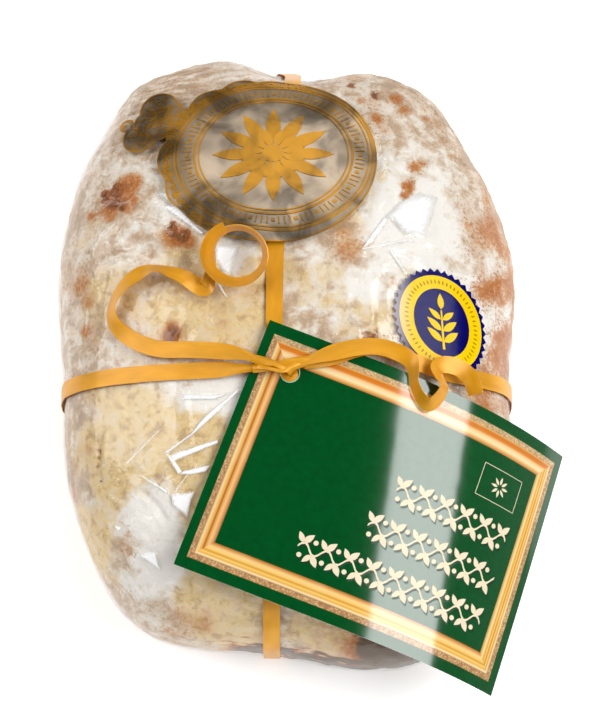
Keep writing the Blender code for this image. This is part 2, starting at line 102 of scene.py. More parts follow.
# Spots on the loaf's face: place, reach and strength.
FRUIT_SPOTS = (
    ((-0.0715, 0.0555, 0.0600), 0.0042, 1.0),
    ((-0.0690, 0.0600, 0.0612), 0.0034, 1.0),
    ((-0.0742, 0.0595, 0.0580), 0.0024, 0.9),
    ((-0.0672, 0.0520, 0.0630), 0.0026, 0.8),
    ((-0.0472, 0.0412, 0.0705), 0.0030, 1.0),
    ((-0.0430, 0.0382, 0.0712), 0.0028, 1.0),
    ((-0.0398, 0.0355, 0.0722), 0.0020, 0.9),
    ((-0.0465, -0.0030, 0.0716), 0.0030, 1.1),
    ((0.0311, -0.0041, 0.0734), 0.0042, 0.62),
    ((0.0520, 0.0704, 0.0632), 0.0017, 1.0),
    ((0.0475, 0.0622, 0.0664), 0.0018, 0.8),
    ((0.0241, 0.1060, 0.0558), 0.0024, 0.8),
    ((0.0337, 0.1014, 0.0566), 0.0024, 0.8),
    ((0.0272, 0.0982, 0.0597), 0.0018, 0.8),
    ((0.0614, 0.0832, 0.0540), 0.0018, 0.8),
    ((0.0645, 0.0766, 0.0548), 0.0018, 0.8),
    ((-0.0656, -0.0805, 0.0551), 0.0016, 0.8),
    ((-0.0625, -0.0851, 0.0550), 0.0016, 0.8),
    ((-0.0632, -0.0789, 0.0573), 0.0014, 0.8),
    ((-0.0392, -0.1090, 0.0505), 0.0020, 0.7),
    ((-0.0354, -0.1125, 0.0484), 0.0018, 0.7),
    ((-0.0297, -0.1176, 0.0436), 0.0014, 0.7),
    ((-0.0161, -0.1141, 0.0511), 0.0013, 0.7),
)
BIG_REACH = 0.0022  # the reach over which a raisin darkens the crust itself
BIG_FRUIT = [spot for spot in FRUIT_SPOTS if spot[1] > BIG_REACH]
SMALL_FRUIT = [(spot[0], 1.5 * spot[1], spot[2]) for spot in FRUIT_SPOTS if spot[1] <= BIG_REACH]
TOAST_AND_SHADE_SPOTS = (
    ((-0.0790, -0.0440, 0.0500), 0.0050, 0.62),
    ((-0.0655, -0.0825, 0.0550), 0.0060, 0.50),
    ((-0.0350, -0.1120, 0.0490), 0.0060, 0.62),
    ((-0.0645, 0.0610, 0.0635), 0.0050, 1.0),
    ((-0.0655, 0.0540, 0.0632), 0.0048, 1.0),
    ((-0.0725, 0.0510, 0.0600), 0.0045, 0.9),
    ((-0.0790, 0.0510, 0.0560), 0.0030, 0.8),
    ((-0.0455, 0.0380, 0.0710), 0.0062, 1.0),
    ((-0.0405, 0.0350, 0.0720), 0.0045, 0.9),
    ((-0.0465, -0.0024, 0.0716), 0.0052, 1.0),
    ((0.0200, 0.0410, 0.0733), 0.0080, 0.66),
    ((0.0222, 0.0310, 0.0737), 0.0075, 0.64),
    ((-0.0290, 0.0074, 0.0741), 0.0060, 0.56),
    ((-0.0270, 0.0010, 0.0742), 0.0050, 0.56),
    ((0.0460, 0.0600, 0.0670), 0.0032, 0.9),
    ((0.0446, 0.0560, 0.0679), 0.0022, 0.9),
    ((0.0490, 0.0680, 0.0645), 0.0030, 0.8),
    ((0.0445, 0.0950, 0.0568), 0.0034, 0.8),
    ((0.0414, 0.1009, 0.0545), 0.0034, 0.9),
    ((0.0335, 0.0896, 0.0622), 0.0030, 0.8),
    ((0.0535, 0.0926, 0.0540), 0.0022, 0.8),
    ((-0.0839, 0.0227, 0.0537), 0.0060, 0.66),
    ((-0.0804, 0.0155, 0.0572), 0.0055, 0.66),
    ((-0.0814, 0.0035, 0.0564), 0.0030, 0.8),
    ((-0.0080, 0.1180, 0.0520), 0.0050, 1.0),
    ((0.0040, 0.1170, 0.0520), 0.0050, 1.0),
    # Painted shade: these three spots darken the near right end in grey-brown, for the card's shadow and the
    # underside that turns away.
    ((0.0110, -0.1190, 0.0440), 0.0080, 0.40),
    ((0.0250, -0.1195, 0.0390), 0.0080, 0.95),
    ((0.0420, -0.1170, 0.0340), 0.0160, 2.40),
)
BUTTER_SPOTS = (
    ((-0.0600, -0.0450, 0.0660), 0.020, 1.0),
    ((-0.0350, -0.0447, 0.0718), 0.018, 1.0),
    ((-0.0200, -0.0650, 0.0710), 0.020, 1.0),
    ((-0.0350, -0.1010, 0.0560), 0.010, 0.70),
    ((-0.0200, -0.1010, 0.0597), 0.012, 0.80),
    ((-0.0220, -0.1150, 0.0500), 0.012, 0.70),
    ((0.0160, -0.1120, 0.0520), 0.012, 1.0),
    ((-0.0300, 0.0100, 0.0740), 0.032, 0.60),
    ((0.0200, 0.0560, 0.0720), 0.018, 0.62),
    ((0.0330, 0.0100, 0.0730), 0.024, 0.45),
    ((-0.0790, -0.0776, 0.0410), 0.012, 0.8),
    ((-0.0690, 0.0150, 0.0640), 0.014, 0.5),
)
# Thick sugar, and painted highlights: some spots, such as the one at (-0.0300, -0.0285), paint the film's
# soft glare as white sugar.
SUGAR_AND_GLARE_SPOTS = (
    ((-0.0545, -0.0720, 0.0630), 0.010, 1.0),
    ((-0.0520, -0.0900, 0.0580), 0.008, 1.0),
    ((-0.0400, 0.0490, 0.0710), 0.009, 1.0),
    ((0.0480, 0.0450, 0.0690), 0.016, 0.9),
    ((0.0700, 0.0100, 0.0620), 0.020, 0.8),
    ((-0.0300, -0.0285, 0.0735), 0.011, 1.1),
    ((-0.0230, 0.0270, 0.0738), 0.006, 0.9),
    ((0.0300, 0.0180, 0.0733), 0.010, 0.6),
)

# Cracks in the crust: the places that each runs through. They are darkened like bare crust, and also with
# painted shade in the crack.
CRACKS = (
    (
        (-0.0585, -0.0634, 0.0639), (-0.0545, -0.0662, 0.0643),
        (-0.0514, -0.0699, 0.0648), (-0.0494, -0.0742, 0.0644),
    ),
    (
        (-0.0758, -0.0415, 0.0585), (-0.0749, -0.0475, 0.0582),
        (-0.0753, -0.0531, 0.0569), (-0.0744, -0.0570, 0.0566),
    ),
)

# Painted highlights: shards of creased film whose white stands in for the lamps' highlights on the creases,
# in plan: how strong each painted glint is, then its corners.
GLINT_SHARDS = (
    (0.90, (-0.0284, -0.0445), (-0.0278, -0.0463), (-0.0455, -0.0530), (-0.0468, -0.0502)),
    (0.60, (-0.0368, -0.0408), (-0.0362, -0.0414), (-0.0480, -0.0498), (-0.0492, -0.0491)),
    (0.75, (-0.0488, -0.0492), (-0.0460, -0.0505), (-0.0417, -0.0568), (-0.0437, -0.0578)),
    (
        0.85, (-0.0437, -0.0578), (-0.0417, -0.0564), (-0.0307, -0.0542),
        (-0.0329, -0.0572), (-0.0383, -0.0582),
    ),
    (
        0.90, (-0.0467, -0.0649), (-0.0367, -0.0641), (-0.0382, -0.0671),
        (-0.0398, -0.0745), (-0.0460, -0.0691),
    ),
    (0.75, (-0.0586, -0.0573), (-0.0577, -0.0572), (-0.0473, -0.0639), (-0.0479, -0.0648)),
    (0.85, (-0.0690, -0.0746), (-0.0656, -0.0761), (-0.0672, -0.0772)),
    (0.95, (-0.0593, -0.0868), (-0.0526, -0.0857), (-0.0503, -0.0934), (-0.0538, -0.0906)),
    (0.45, (-0.0448, -0.0635), (-0.0443, -0.0638), (-0.0396, -0.0578), (-0.0400, -0.0574)),
    (0.50, (-0.0640, -0.0519), (-0.0634, -0.0525), (-0.0508, -0.0405), (-0.0512, -0.0401)),
    (
        0.80, (-0.0209, -0.0253), (-0.0207, -0.0263), (-0.0307, -0.0363),
        (-0.0428, -0.0470), (-0.0334, -0.0354),
    ),
    (
        0.70, (-0.0215, -0.0259), (-0.0299, -0.0273), (-0.0408, -0.0266),
        (-0.0427, -0.0288), (-0.0299, -0.0293),
    ),
    (0.85, (-0.0532, 0.0560), (-0.0472, 0.0564), (-0.0416, 0.0530), (-0.0472, 0.0525)),
    (0.90, (-0.0416, 0.0530), (-0.0376, 0.0502), (-0.0320, 0.0399), (-0.0340, 0.0417), (-0.0388, 0.0473)),
    (0.80, (-0.0519, 0.0511), (-0.0455, 0.0502), (-0.0344, 0.0383), (-0.0355, 0.0375), (-0.0439, 0.0446)),
    (0.75, (0.0268, 0.0308), (0.0294, 0.0354), (0.0362, 0.0454), (0.0377, 0.0446), (0.0314, 0.0347)),
    (
        0.85, (0.0362, 0.0454), (0.0426, 0.0526), (0.0506, 0.0573), (0.0578, 0.0560),
        (0.0552, 0.0457), (0.0527, 0.0378), (0.0444, 0.0379), (0.0393, 0.0435),
    ),
    (0.60, (0.0270, 0.0310), (0.0274, 0.0320), (0.0475, 0.0371), (0.0471, 0.0360)),
    (0.45, (0.0380, 0.0312), (0.0392, 0.0317), (0.0454, 0.0226), (0.0442, 0.0217)),
    (0.45, (-0.0291, 0.0172), (-0.0279, 0.0175), (-0.0244, 0.0114), (-0.0255, 0.0114)),
    (
        0.80, (-0.0303, 0.0338), (-0.0204, 0.0322), (-0.0227, 0.0258),
        (-0.0235, 0.0197), (-0.0278, 0.0226), (-0.0301, 0.0274),
    ),
)

# Ribbons.
RIBBON_WIDTH = 0.0066
LENGTHWISE_X = -0.0068  # of the lengthwise ribbon at Y = 0
LENGTHWISE_TURN = math.radians(0.5)
LENGTHWISE_SWAY = (0.020, 0.0062, 0.090)  # from this Y, how far to the right, and over what length
CROSSWISE_Y = -0.0178
CROSSWISE_SWAY = (0.031, 0.0085, 0.017)  # centre in X, how far to the far side, and reach
TOP_FROM = 0.050  # height over which a section counts as the top of the loaf
KNOT_LEFT_X = -0.0125
KNOT_RIGHT_X = 0.0030
PINCH = 0.42  # width left where a ribbon runs into the knot
PINCH_LENGTH = 0.016

# Card: a flat sheet that bends about lines that lie across it at a slant.
CARD_LENGTH = 0.1363
CARD_WIDTH = 0.1015
CARD_THICKNESS = 0.0004
CARD_CORNER = Vector((-0.0084, 0.0013, 0.0787))
CARD_TURNS = (math.radians(-21.1), math.radians(3.8), math.radians(1.6))  # yaw, pitch, roll
BEND_SLANT = math.radians(12.1)
BEND_FROM = 0.021
BEND_TO = 0.149
BEND_SLOPE = math.radians(49.7)
HOLE_RADIUS = 0.0035
HOLE_PLACE = (0.0147, 0.0166)  # along the length and the width, from the corner

# Seal and sticker.
SEAL_CENTRE = Vector((-0.0094, 0.0700, 0.0703))
SEAL_FACING = Vector((-0.03, 0.22, 1.0))
SEAL_HALF_SIZE = (0.0430, 0.0376)
STICKER_CENTRE = Vector((0.0582, 0.0030, 0.0674))
STICKER_FACING = Vector((0.34, 0.02, 1.0))
STICKER_HALF_SIZE = (0.0200, 0.0218)

# Tails: place of the ribbon's middle, and how far its face leans over, in degrees.
LEFT_ROUTE = (
    (-0.0125, -0.0160, 0.0808, 0),
    (-0.0170, -0.0135, 0.0803, 0),
    (-0.0255, -0.0115, 0.0792, 0),
    (-0.0395, -0.0100, 0.0765, 0),
    (-0.0510, -0.0090, 0.0738, 4),
    (-0.0610, -0.0050, 0.0715, 16),
    (-0.0690, 0.0022, 0.0690, 44),
    (-0.0702, 0.0098, 0.0690, 60),
    (-0.0659, 0.0172, 0.0712, 42),
    (-0.0600, 0.0211, 0.0738, 24),
    (-0.0530, 0.0229, 0.0762, 52),
    (-0.0466, 0.0209, 0.0775, 34),
    (-0.0416, 0.0187, 0.0778, 18),
    (-0.0373, 0.0160, 0.0770, 5),
    (-0.0340, 0.0147, 0.0770, -10),
    (-0.0322, 0.0175, 0.0784, -45),
)
LEFT_CURL_CENTRE = Vector((-0.0213, 0.0264, 0.0836))
LEFT_CURL_AXIS = Vector((-0.097, -0.350, 0.930))
LEFT_CURL_RADII = (0.0104, 0.0121)  # at its start and at its end
LEFT_CURL_SQUASH = 0.945
LEFT_CURL_RISE = 0.0052
LEFT_CURL_FLARE = (math.radians(22), math.radians(38))  # at its start and at its end
LEFT_CURL_FROM = math.radians(200)
LEFT_CURL_STEPS = 15  # of 30 degrees, clockwise from above
RIGHT_ROUTE = (
    (0.0030, -0.0170, 0.0812, 0),
    (0.0080, -0.0150, 0.0813, 0),
    (0.0165, -0.0122, 0.0811, 0),
    (0.0250, -0.0102, 0.0807, 0),
    (0.0330, -0.0098, 0.0802, 0),
    (0.0397, -0.0115, 0.0800, -4),
    (0.0452, -0.0147, 0.0799, -24),
    (0.0468, -0.0194, 0.0798, -52),
    (0.0470, -0.0240, 0.0796, -62),
    (0.0492, -0.0292, 0.0790, -60),
    (0.0528, -0.0322, 0.0780, -54),
    (0.0568, -0.0290, 0.0774, -58),
    (0.0586, -0.0248, 0.0772, -62),
    (0.0566, -0.0206, 0.0774, -56),
    (0.0558, -0.0172, 0.0772, -40),
    (0.0596, -0.0158, 0.0760, -14),
    (0.0648, -0.0168, 0.0742, -6),
    (0.0692, -0.0204, 0.0720, -22),
    (0.0712, -0.0262, 0.0700, -38),
)


# ---- Settings ----


def paint(red, green, blue):
    """A colour given from 0 to 255, as the linear values that shaders take."""
    shares = [level / 255 for level in (red, green, blue)]
    return tuple(s / 12.92 if s <= 0.04045 else ((s + 0.055) / 1.055) ** 2.4 for s in shares)


def size_property(name, description, default, low, high):
    return FloatProperty(
        name=name, description=description, default=default, min=low, max=high,
        subtype="DISTANCE", unit="LENGTH", precision=5,
    )


def share_property(name, description, default, high=1.0):
    return FloatProperty(name=name, description=description, default=default, min=0.0, max=high)


def colour_property(name, description, red, green, blue):
    return FloatVectorProperty(
        name=name, description=description, default=paint(red, green, blue), min=0.0, max=1.0,
        size=3, subtype="COLOR",
    )


class StageSettings(bpy.types.PropertyGroup):
    """Light and view"""

    key_power: FloatProperty(
        name="Key Light", description="Power of the large softbox on the right", default=12.0, unit="POWER"
    )
    fill_power: FloatProperty(
        name="Fill Light", description="Power of the softbox on the left", default=6.0, unit="POWER"
    )
    front_power: FloatProperty(
        name="Front Light", description="Power of the low softbox at the near side", default=2.0, unit="POWER"
    )
    back_power: FloatProperty(
        name="Back Light", description="Power of the softbox at the far side", default=1.9, unit="POWER"
    )
    surround: share_property("Surround", "Brightness of the room at the level of the table", 0.30, 2.0)
    ceiling: share_property("Ceiling", "Brightness of the room overhead", 0.02, 2.0)
    floor_colour: colour_property("Floor", "Colour of the table top", 250, 250, 250)


class LoafSettings(bpy.types.PropertyGroup):
    """The sugared loaf"""

    cuts: IntProperty(name="Fineness", description="Cuts along each side of its mesh", default=138, min=8)
    lump_height: size_property("Lumps", "Height of the crust's lumps", 0.0008, 0, 0.003)
    grain_height: size_property("Grain", "Height of the sugar's grain", 0.00028, 0, 0.001)
    sugar_colour: colour_property("Sugar", "Powdered sugar", 236, 224, 208)
    snow_colour: colour_property("Thick Sugar", "Thick powdered sugar", 252, 247, 240)
    dusk_colour: colour_property("Thin Sugar", "Sugar that the crust shows through", 210, 181, 152)
    butter_colour: colour_property("Buttered Sugar", "Sugar soaked in butter", 236, 207, 150)
    amber_colour: colour_property("Amber", "Crust under a little sugar", 212, 160, 104)
    crust_colour: colour_property("Crust", "Baked crust", 188, 112, 50)
    fruit_colour: colour_property("Fruit", "Baked raisins", 98, 54, 30)


class FilmSettings(bpy.types.PropertyGroup):
    """The clear film"""

    cuts: IntProperty(name="Fineness", description="Cuts along each side of its mesh", default=96, min=8)
    gap: size_property("Gap", "Between the film and the highest crumbs", 0.0003, 0, 0.002)
    ripple: size_property("Ripple", "Height of its fine ripples", 0.0005, 0, 0.002)
    bend: FloatProperty(name="IOR", description="Refractive index of the film", default=1.55, min=1.0)
    most_mirror: share_property("Most Mirror", "Share of light it mirrors at the flattest slant", 0.30)


class RibbonSettings(bpy.types.PropertyGroup):
    """The gold ribbon"""

    thickness: size_property("Thickness", "Thickness of the ribbon", 0.00028, 0.0001, 0.001)
    colour: colour_property("Gold", "Face of the ribbon", 222, 152, 10)
    # Sheen is painted: paler threads at random along the ribbon stand in for the satin's highlights.
    sheen_colour: colour_property("Sheen", "Lighter threads of the ribbon", 242, 186, 44)


class CardSettings(bpy.types.PropertyGroup):
    """The hanging card"""

    side_border: size_property("Side Border", "Green outside the frame, left and right", 0.0036, 0, 0.02)
    end_border: size_property("End Border", "Green outside the frame, top and bottom", 0.0045, 0, 0.02)
    side_frame: size_property("Side Frame", "Width of the gold frame, left and right", 0.0080, 0, 0.02)
    end_frame: size_property("End Frame", "Width of the gold frame, top and bottom", 0.0088, 0, 0.02)
    colour: colour_property("Green", "Ground of the card", 0, 76, 30)
    ink_colour: colour_property("Cream Ink", "Vines printed on the card", 234, 220, 188)
    core_colour: colour_property("Core", "Cut edge of the card", 228, 224, 212)


class SealSettings(bpy.types.PropertyGroup):
    """The foil seal"""

    foil_colour: colour_property("Foil", "Pewter ground", 158, 142, 122)
    gold_colour: colour_property("Gold", "Gold lines and rosette", 172, 122, 32)
    line: size_property("Line", "Width of the gold rings", 0.0009, 0.0001, 0.003)
    petals: IntProperty(name="Petals", description="Petals of the rosette", default=12, min=3)


class StickerSettings(bpy.types.PropertyGroup):
    """The round sticker"""

    blue_colour: colour_property("Blue", "Ground of the sticker", 2, 0, 92)
    yellow_colour: colour_property("Yellow", "Ring and motif", 248, 202, 2)
    teeth: IntProperty(name="Teeth", description="Teeth of its edge", default=40, min=8)


# ---- Finishes and pieces ----


class Finish:
    """A node material under way, with short calls that add nodes to it."""

    def __init__(self, name, roughness=0.5, **values):
        self.material = bpy.data.materials.new(name)
        self.material.use_nodes = True
        self.tree = self.material.node_tree
        self.shader = self.tree.nodes["Principled BSDF"]
        self.shader.inputs["Roughness"].default_value = roughness
        for socket, value in values.items():
            self.shader.inputs[socket.replace("_", " ")].default_value = value
        self.place = self.add("ShaderNodeTexCoord").outputs["Object"]

    def add(self, kind, inputs=(), **settings):
        node = self.tree.nodes.new(kind)
        for name, value in settings.items():
            setattr(node, name, value)
        for socket, value in dict(inputs).items():
            self.feed(node.inputs[socket], value)
        return node

    def feed(self, socket, value):
        if isinstance(value, bpy.types.NodeSocket):
            self.tree.links.new(value, socket)
        elif socket.type == "RGBA":
            socket.default_value = (*value[:3], 1.0)
        else:
            socket.default_value = value

    def shade(self, **inputs):
        """Feeds the Principled shader's sockets."""
        for socket, value in inputs.items():
            self.feed(self.shader.inputs[socket.replace("_", " ")], value)

    def attribute(self, name):
        return self.add("ShaderNodeAttribute", attribute_name=name).outputs["Fac"]

    def cloud(self, size, detail=2.0, where=None, roughness=0.5, twist=0.0):
        inputs = {"Vector": where or self.place, "Scale": 1 / size, "Detail": detail}
        inputs.update({"Roughness": roughness, "Distortion": twist})
        return self.add("ShaderNodeTexNoise", inputs).outputs["Fac"]

    def stretch(self, where, scale):
        return self.add("ShaderNodeMapping", {"Vector": where, "Scale": scale}).outputs["Vector"]

    def maths(self, operation, *values):
        node = self.add("ShaderNodeMath", enumerate(values), operation=operation)
        return node.outputs[0]

    def rise(self, value, low, high):
        """A smooth step from 0 at low to 1 at high."""
        inputs = {"Value": value, "From Min": low, "From Max": high}
        return self.add("ShaderNodeMapRange", inputs, interpolation_type="SMOOTHSTEP").outputs["Result"]

    def mix(self, share, first, second):
        node = self.add("ShaderNodeMix", data_type="RGBA")
        for index, value in ((0, share), (6, first), (7, second)):
            self.feed(node.inputs[index], value)
        return node.outputs[2]

    def ramp(self, share, *stops):
        node = self.add("ShaderNodeValToRGB", {"Fac": share})
        bar = node.color_ramp
        while len(bar.elements) < len(stops):
            bar.elements.new(0.5)
        for element, (position, colour) in zip(bar.elements, stops):
            element.position = position
            element.color = (*colour, 1.0)
        return node.outputs["Color"]

    def bump(self, height, depth, below=None):
        inputs = {"Height": height, "Distance": depth}
        if below:
            inputs["Normal"] = below
        return self.add("ShaderNodeBump", inputs).outputs["Normal"]


def darker(colour, share):
    return tuple(level * share for level in colour)


def halfway(first, second):
    """The colour halfway between two."""
    return tuple((a + b) / 2 for a, b in zip(first, second))


def ease(share):
    share = min(max(share, 0.0), 1.0)
    return share * share * (3.0 - 2.0 * share)


def add_piece(name, bm, finishes, replaced=(), wall=0.0):
    """Turns the bmesh into a finished piece that rides on the body; wall thickens a sheet."""
    mesh = bpy.data.meshes.new(name)
    bm.to_mesh(mesh)
    bm.free()
    for finish in finishes:
        mesh.materials.append(finish)
    piece = bpy.data.objects.new(name, mesh)
    bpy.context.scene.collection.objects.link(piece)
    if wall:
        thicken(piece, wall)
        bpy.context.view_layer.update()
        graph = bpy.context.evaluated_depsgraph_get()
        thick = bpy.data.meshes.new_from_object(piece.evaluated_get(graph), depsgraph=graph)
        piece.modifiers.clear()
        piece.data = thick
        bpy.data.meshes.remove(mesh)
        thick.name = name
    piece.data.shade_smooth()
    piece.data.set_sharp_from_angle(angle=math.radians(40))
    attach(piece, "root")
    if replaced:
        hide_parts(*replaced)
    return piece


def thicken(piece, thickness):
    wall = piece.modifiers.new("wall", "SOLIDIFY")
    wall.thickness = thickness
    wall.offset = 0.0
    return wall


# ---- Stage ----


def softbox(name, place, size, power):
    light = bpy.data.lights.new(name, "AREA")
    light.shape = "RECTANGLE"
    light.size, light.size_y = size
    light.energy = power
    lamp = bpy.data.objects.new(name, light)
    lamp.location = place
    lamp.rotation_euler = (LIT_MIDDLE - place).to_track_quat("-Z", "Y").to_euler()
    bpy.context.scene.collection.objects.link(lamp)


def make_room(settings):
    """A room that is pale at the level of the table and dark overhead."""
    room = bpy.data.worlds.new("room")
    room.use_nodes = True
    tree = room.node_tree
    way = tree.nodes.new("ShaderNodeSeparateXYZ")
    tree.links.new(tree.nodes.new("ShaderNodeTexCoord").outputs["Generated"], way.inputs[0])
    light = tree.nodes.new("ShaderNodeMapRange")
    tree.links.new(way.outputs["Z"], light.inputs["Value"])
    for name, value in (("From Min", 0.1), ("From Max", 0.75), ("To Min", settings.surround)):
        light.inputs[name].default_value = value
    light.inputs["To Max"].default_value = settings.ceiling
    background = tree.nodes["Background"]
    background.inputs["Color"].default_value = (1.0, 1.0, 1.0, 1.0)
    tree.links.new(light.outputs["Result"], background.inputs["Strength"])
    return room


CAMERA_TARGET = Vector((0.0032, -0.0014, 0.0350))
CAMERA_ELEVATION = math.radians(75)
CAMERA_DISTANCE = 1.2
LIT_MIDDLE = Vector((0.02, -0.02, 0.05))  # where the softboxes point


def make_stage(settings):
    """The camera, the lights and a pale table top."""
    scene = bpy.context.scene
    away = Vector((0, -math.cos(CAMERA_ELEVATION), math.sin(CAMERA_ELEVATION))) * CAMERA_DISTANCE
    view = bpy.data.cameras.new("camera")
    view.lens = 151.69
    view.clip_start = 0.05
    camera = bpy.data.objects.new("camera", view)
    camera.location = CAMERA_TARGET + away
    camera.rotation_euler = (-away).to_track_quat("-Z", "Y").to_euler()
    scene.collection.objects.link(camera)
    scene.camera = camera
    scene.view_settings.view_transform = "Standard"

    softbox("key_softbox", Vector((0.66, -0.03, 0.98)), (0.90, 0.62), settings.key_power)
    softbox("fill_softbox", Vector((-0.80, 0.15, 0.75)), (0.60, 0.90), settings.fill_power)
    softbox("front_softbox", Vector((-0.10, -1.00, 0.45)), (1.00, 0.40), settings.front_power)
    softbox("back_softbox", Vector((0.05, 0.80, 0.95)), (0.45, 0.40), settings.back_power)
    scene.world = make_room(settings)

    bm = bmesh.new()
    bmesh.ops.create_grid(bm, x_segments=4, y_segments=4, size=1.5)
    mesh = bpy.data.meshes.new("table_top")
    bm.to_mesh(mesh)
    bm.free()
    finish = Finish("table top", roughness=0.9)
    grain = finish.cloud(0.004)
    tone = tuple(settings.floor_colour)
    finish.shade(Base_Color=finish.ramp(grain, (0.0, darker(tone, 0.99)), (1.0, tone)))
    finish.shade(Emission_Color=(1.0, 1.0, 1.0), Emission_Strength=0.46)
    mesh.materials.append(finish.material)
    floor = bpy.data.objects.new("table_top", mesh)
    scene.collection.objects.link(floor)


# ---- Ribbon ----


def ribbon_finish(settings):
    """Satin gold ribbon with fine ribs that run along it; the paler ribs, and the pale end of its bands, are
    painted sheen.
    """
    finish = Finish("gold ribbon", roughness=0.34, Metallic=0.15)
    along = finish.add("ShaderNodeUVMap", uv_map="weave").outputs["UV"]
    ribs = finish.cloud(1.0, 3.0, finish.stretch(along, (4200.0, 70.0, 1.0)))
    bands = finish.cloud(1.0, 2.0, finish.stretch(along, (120.0, 45.0, 1.0)))
    gold = tuple(settings.colour)
    sheen = tuple(settings.sheen_colour)
    # Painted sheen: the pale end of the bands and the paler ribs lighten the gold.
    ground = finish.ramp(bands, (0.32, darker(gold, 0.80)), (0.55, gold), (0.80, halfway(gold, sheen)))
    finish.shade(Base_Color=finish.mix(finish.rise(ribs, 0.50, 1.0), ground, sheen))
    finish.shade(Roughness=finish.maths("MULTIPLY_ADD", ribs, 0.20, 0.26))
    finish.shade(Normal=finish.bump(ribs, 0.00004))
    return finish.material


def shared_ribbon_finish():
    found = bpy.data.materials.get("gold ribbon")
    return found or ribbon_finish(bpy.context.scene.stollen_ribbon)


def smooth_route(points, per_span):
    """Points of the smooth curve through the route's own points."""
    padded = [points[0], *points, points[-1]]
    route = []
    for before, here, ahead, after in zip(padded, padded[1:], padded[2:], padded[3:]):
        for step in range(per_span):
            t = step / per_span
            route.append(
                [
                    0.5 * (2 * b + (c - a) * t + (2 * a - 5 * b + 4 * c - d) * t * t
                           + (3 * b - a - 3 * c + d) * t**3)
                    for a, b, c, d in zip(before, here, ahead, after)
                ]
            )
    route.append(list(points[-1]))
    return route


def curl_frame():
    """The curl's axis and the two ways across it."""
    axis = LEFT_CURL_AXIS.normalized()
    across = Vector((1, 0, 0)) - axis * axis.x
    return axis, across.normalized(), axis.cross(across).normalized()


def curl_route():
    """The round curl of the left tail, which widens as it rises."""
    axis, across, ahead = curl_frame()
    start, end = LEFT_CURL_RADII
    route = []
    for step in range(LEFT_CURL_STEPS + 1):
        share = step / LEFT_CURL_STEPS
        angle = LEFT_CURL_FROM - math.radians(30) * step
        radius = start + (end - start) * share
        place = LEFT_CURL_CENTRE + axis * LEFT_CURL_RISE * (share - 0.5)
        place += (across * math.cos(angle) + ahead * math.sin(angle) * LEFT_CURL_SQUASH) * radius
        route.append((*place, -70))
    return route


def curl_width_way(place, share):
    """The curl's ribbon stands on edge and flares outwards."""
    axis, _, _ = curl_frame()
    out = place - LEFT_CURL_CENTRE
    out -= axis * out.dot(axis)
    start, end = LEFT_CURL_FLARE
    flare = start + (end - start) * share * share
    return -(axis * math.cos(flare) + out.normalized() * math.sin(flare))


def ribbon_piece(name, rows, replaced, thickness, closed=False):
    """A ribbon through rows of (middle, half width vector, cupping vector)."""
    across = 4
    bm = bmesh.new()
    bmesh.ops.create_grid(bm, x_segments=across, y_segments=len(rows) - 1, size=0.5)
    weave = bm.loops.layers.uv.new("weave")
    steps = [0.0] + [(b[0] - a[0]).length for a, b in zip(rows, rows[1:])]
    walked = [sum(steps[: index + 1]) for index in range(len(steps))]
    spots = {}
    for vertex in bm.verts:
        row = round((vertex.co.y + 0.5) * (len(rows) - 1))
        side = 2 * vertex.co.x
        spots[vertex] = (side, row)
    for face in bm.faces:
        for loop in face.loops:
            side, row = spots[loop.vert]
            loop[weave].uv = (side * rows[row][1].length, walked[row])
    for vertex, (side, row) in spots.items():
        middle, half, cup = rows[row]
        vertex.co = middle + half * side + cup * (1 - side * side)
    if closed:
        bmesh.ops.remove_doubles(bm, verts=bm.verts, dist=1e-6)
    bmesh.ops.recalc_face_normals(bm, faces=bm.faces)
    return add_piece(name, bm, [shared_ribbon_finish()], replaced, wall=thickness)


def tail_rows(route, per_span, curl_from=None):
    """Rows of a free tail, pinched where it leaves the knot."""
    upward = Vector((0, 0, 1))
    points = smooth_route(route, per_span)
    places = [Vector(point[:3]) for point in points]
    rows = []
    walked = 0.0
    for index, place in enumerate(places):
        before = places[max(index - 1, 0)]
        after = places[min(index + 1, len(places) - 1)]
        walked += (place - before).length
        heading = (after - before).normalized()
        side = heading.cross(upward).normalized()
        lean = math.radians(points[index][3])
        width_way = side * math.cos(lean) + side.cross(heading) * math.sin(lean)
        if curl_from is not None:
            walked_curl = index / per_span - curl_from
            way = curl_width_way(place, min(max(walked_curl / LEFT_CURL_STEPS, 0), 1))
            width_way = width_way.lerp(way, ease((walked_curl + 0.5) / 1.5)).normalized()
        share = PINCH + (1 - PINCH) * ease(walked / PINCH_LENGTH)
        face = width_way.cross(heading)
        rows.append((place, width_way * RIBBON_WIDTH / 2 * share, face * 0.0010 * (1 - share)))
    return rows


def make_tail(name, route, replaced, curl_from=None):
    rows = tail_rows(route, 8, curl_from)
    thickness = bpy.context.scene.stollen_ribbon.thickness
    tail = ribbon_piece(name, rows, [replaced], thickness)
    return tail


def make_tails():
    """The two free tails, each a strip of flat ribbon."""
    left = (*LEFT_ROUTE, *curl_route())
    make_tail("left_tail", left, "ribbon_tail_left", len(LEFT_ROUTE))
    make_tail("right_tail", RIGHT_ROUTE, "ribbon_tail_right")


def taut(points):
    """The convex outline round points of a plane, which is how a taut ribbon lies."""
    points = sorted(points)
    outline = []
    for run in (points, points[::-1]):
        chain = []
        for x, y in run:
            while len(chain) > 1:
                (x0, y0), (x1, y1) = chain[-2:]
                if (x1 - x0) * (y - y0) - (y1 - y0) * (x - x0) > 0:
                    break
                chain.pop()
            chain.append((x, y))
        outline += chain[:-1]
    return outline


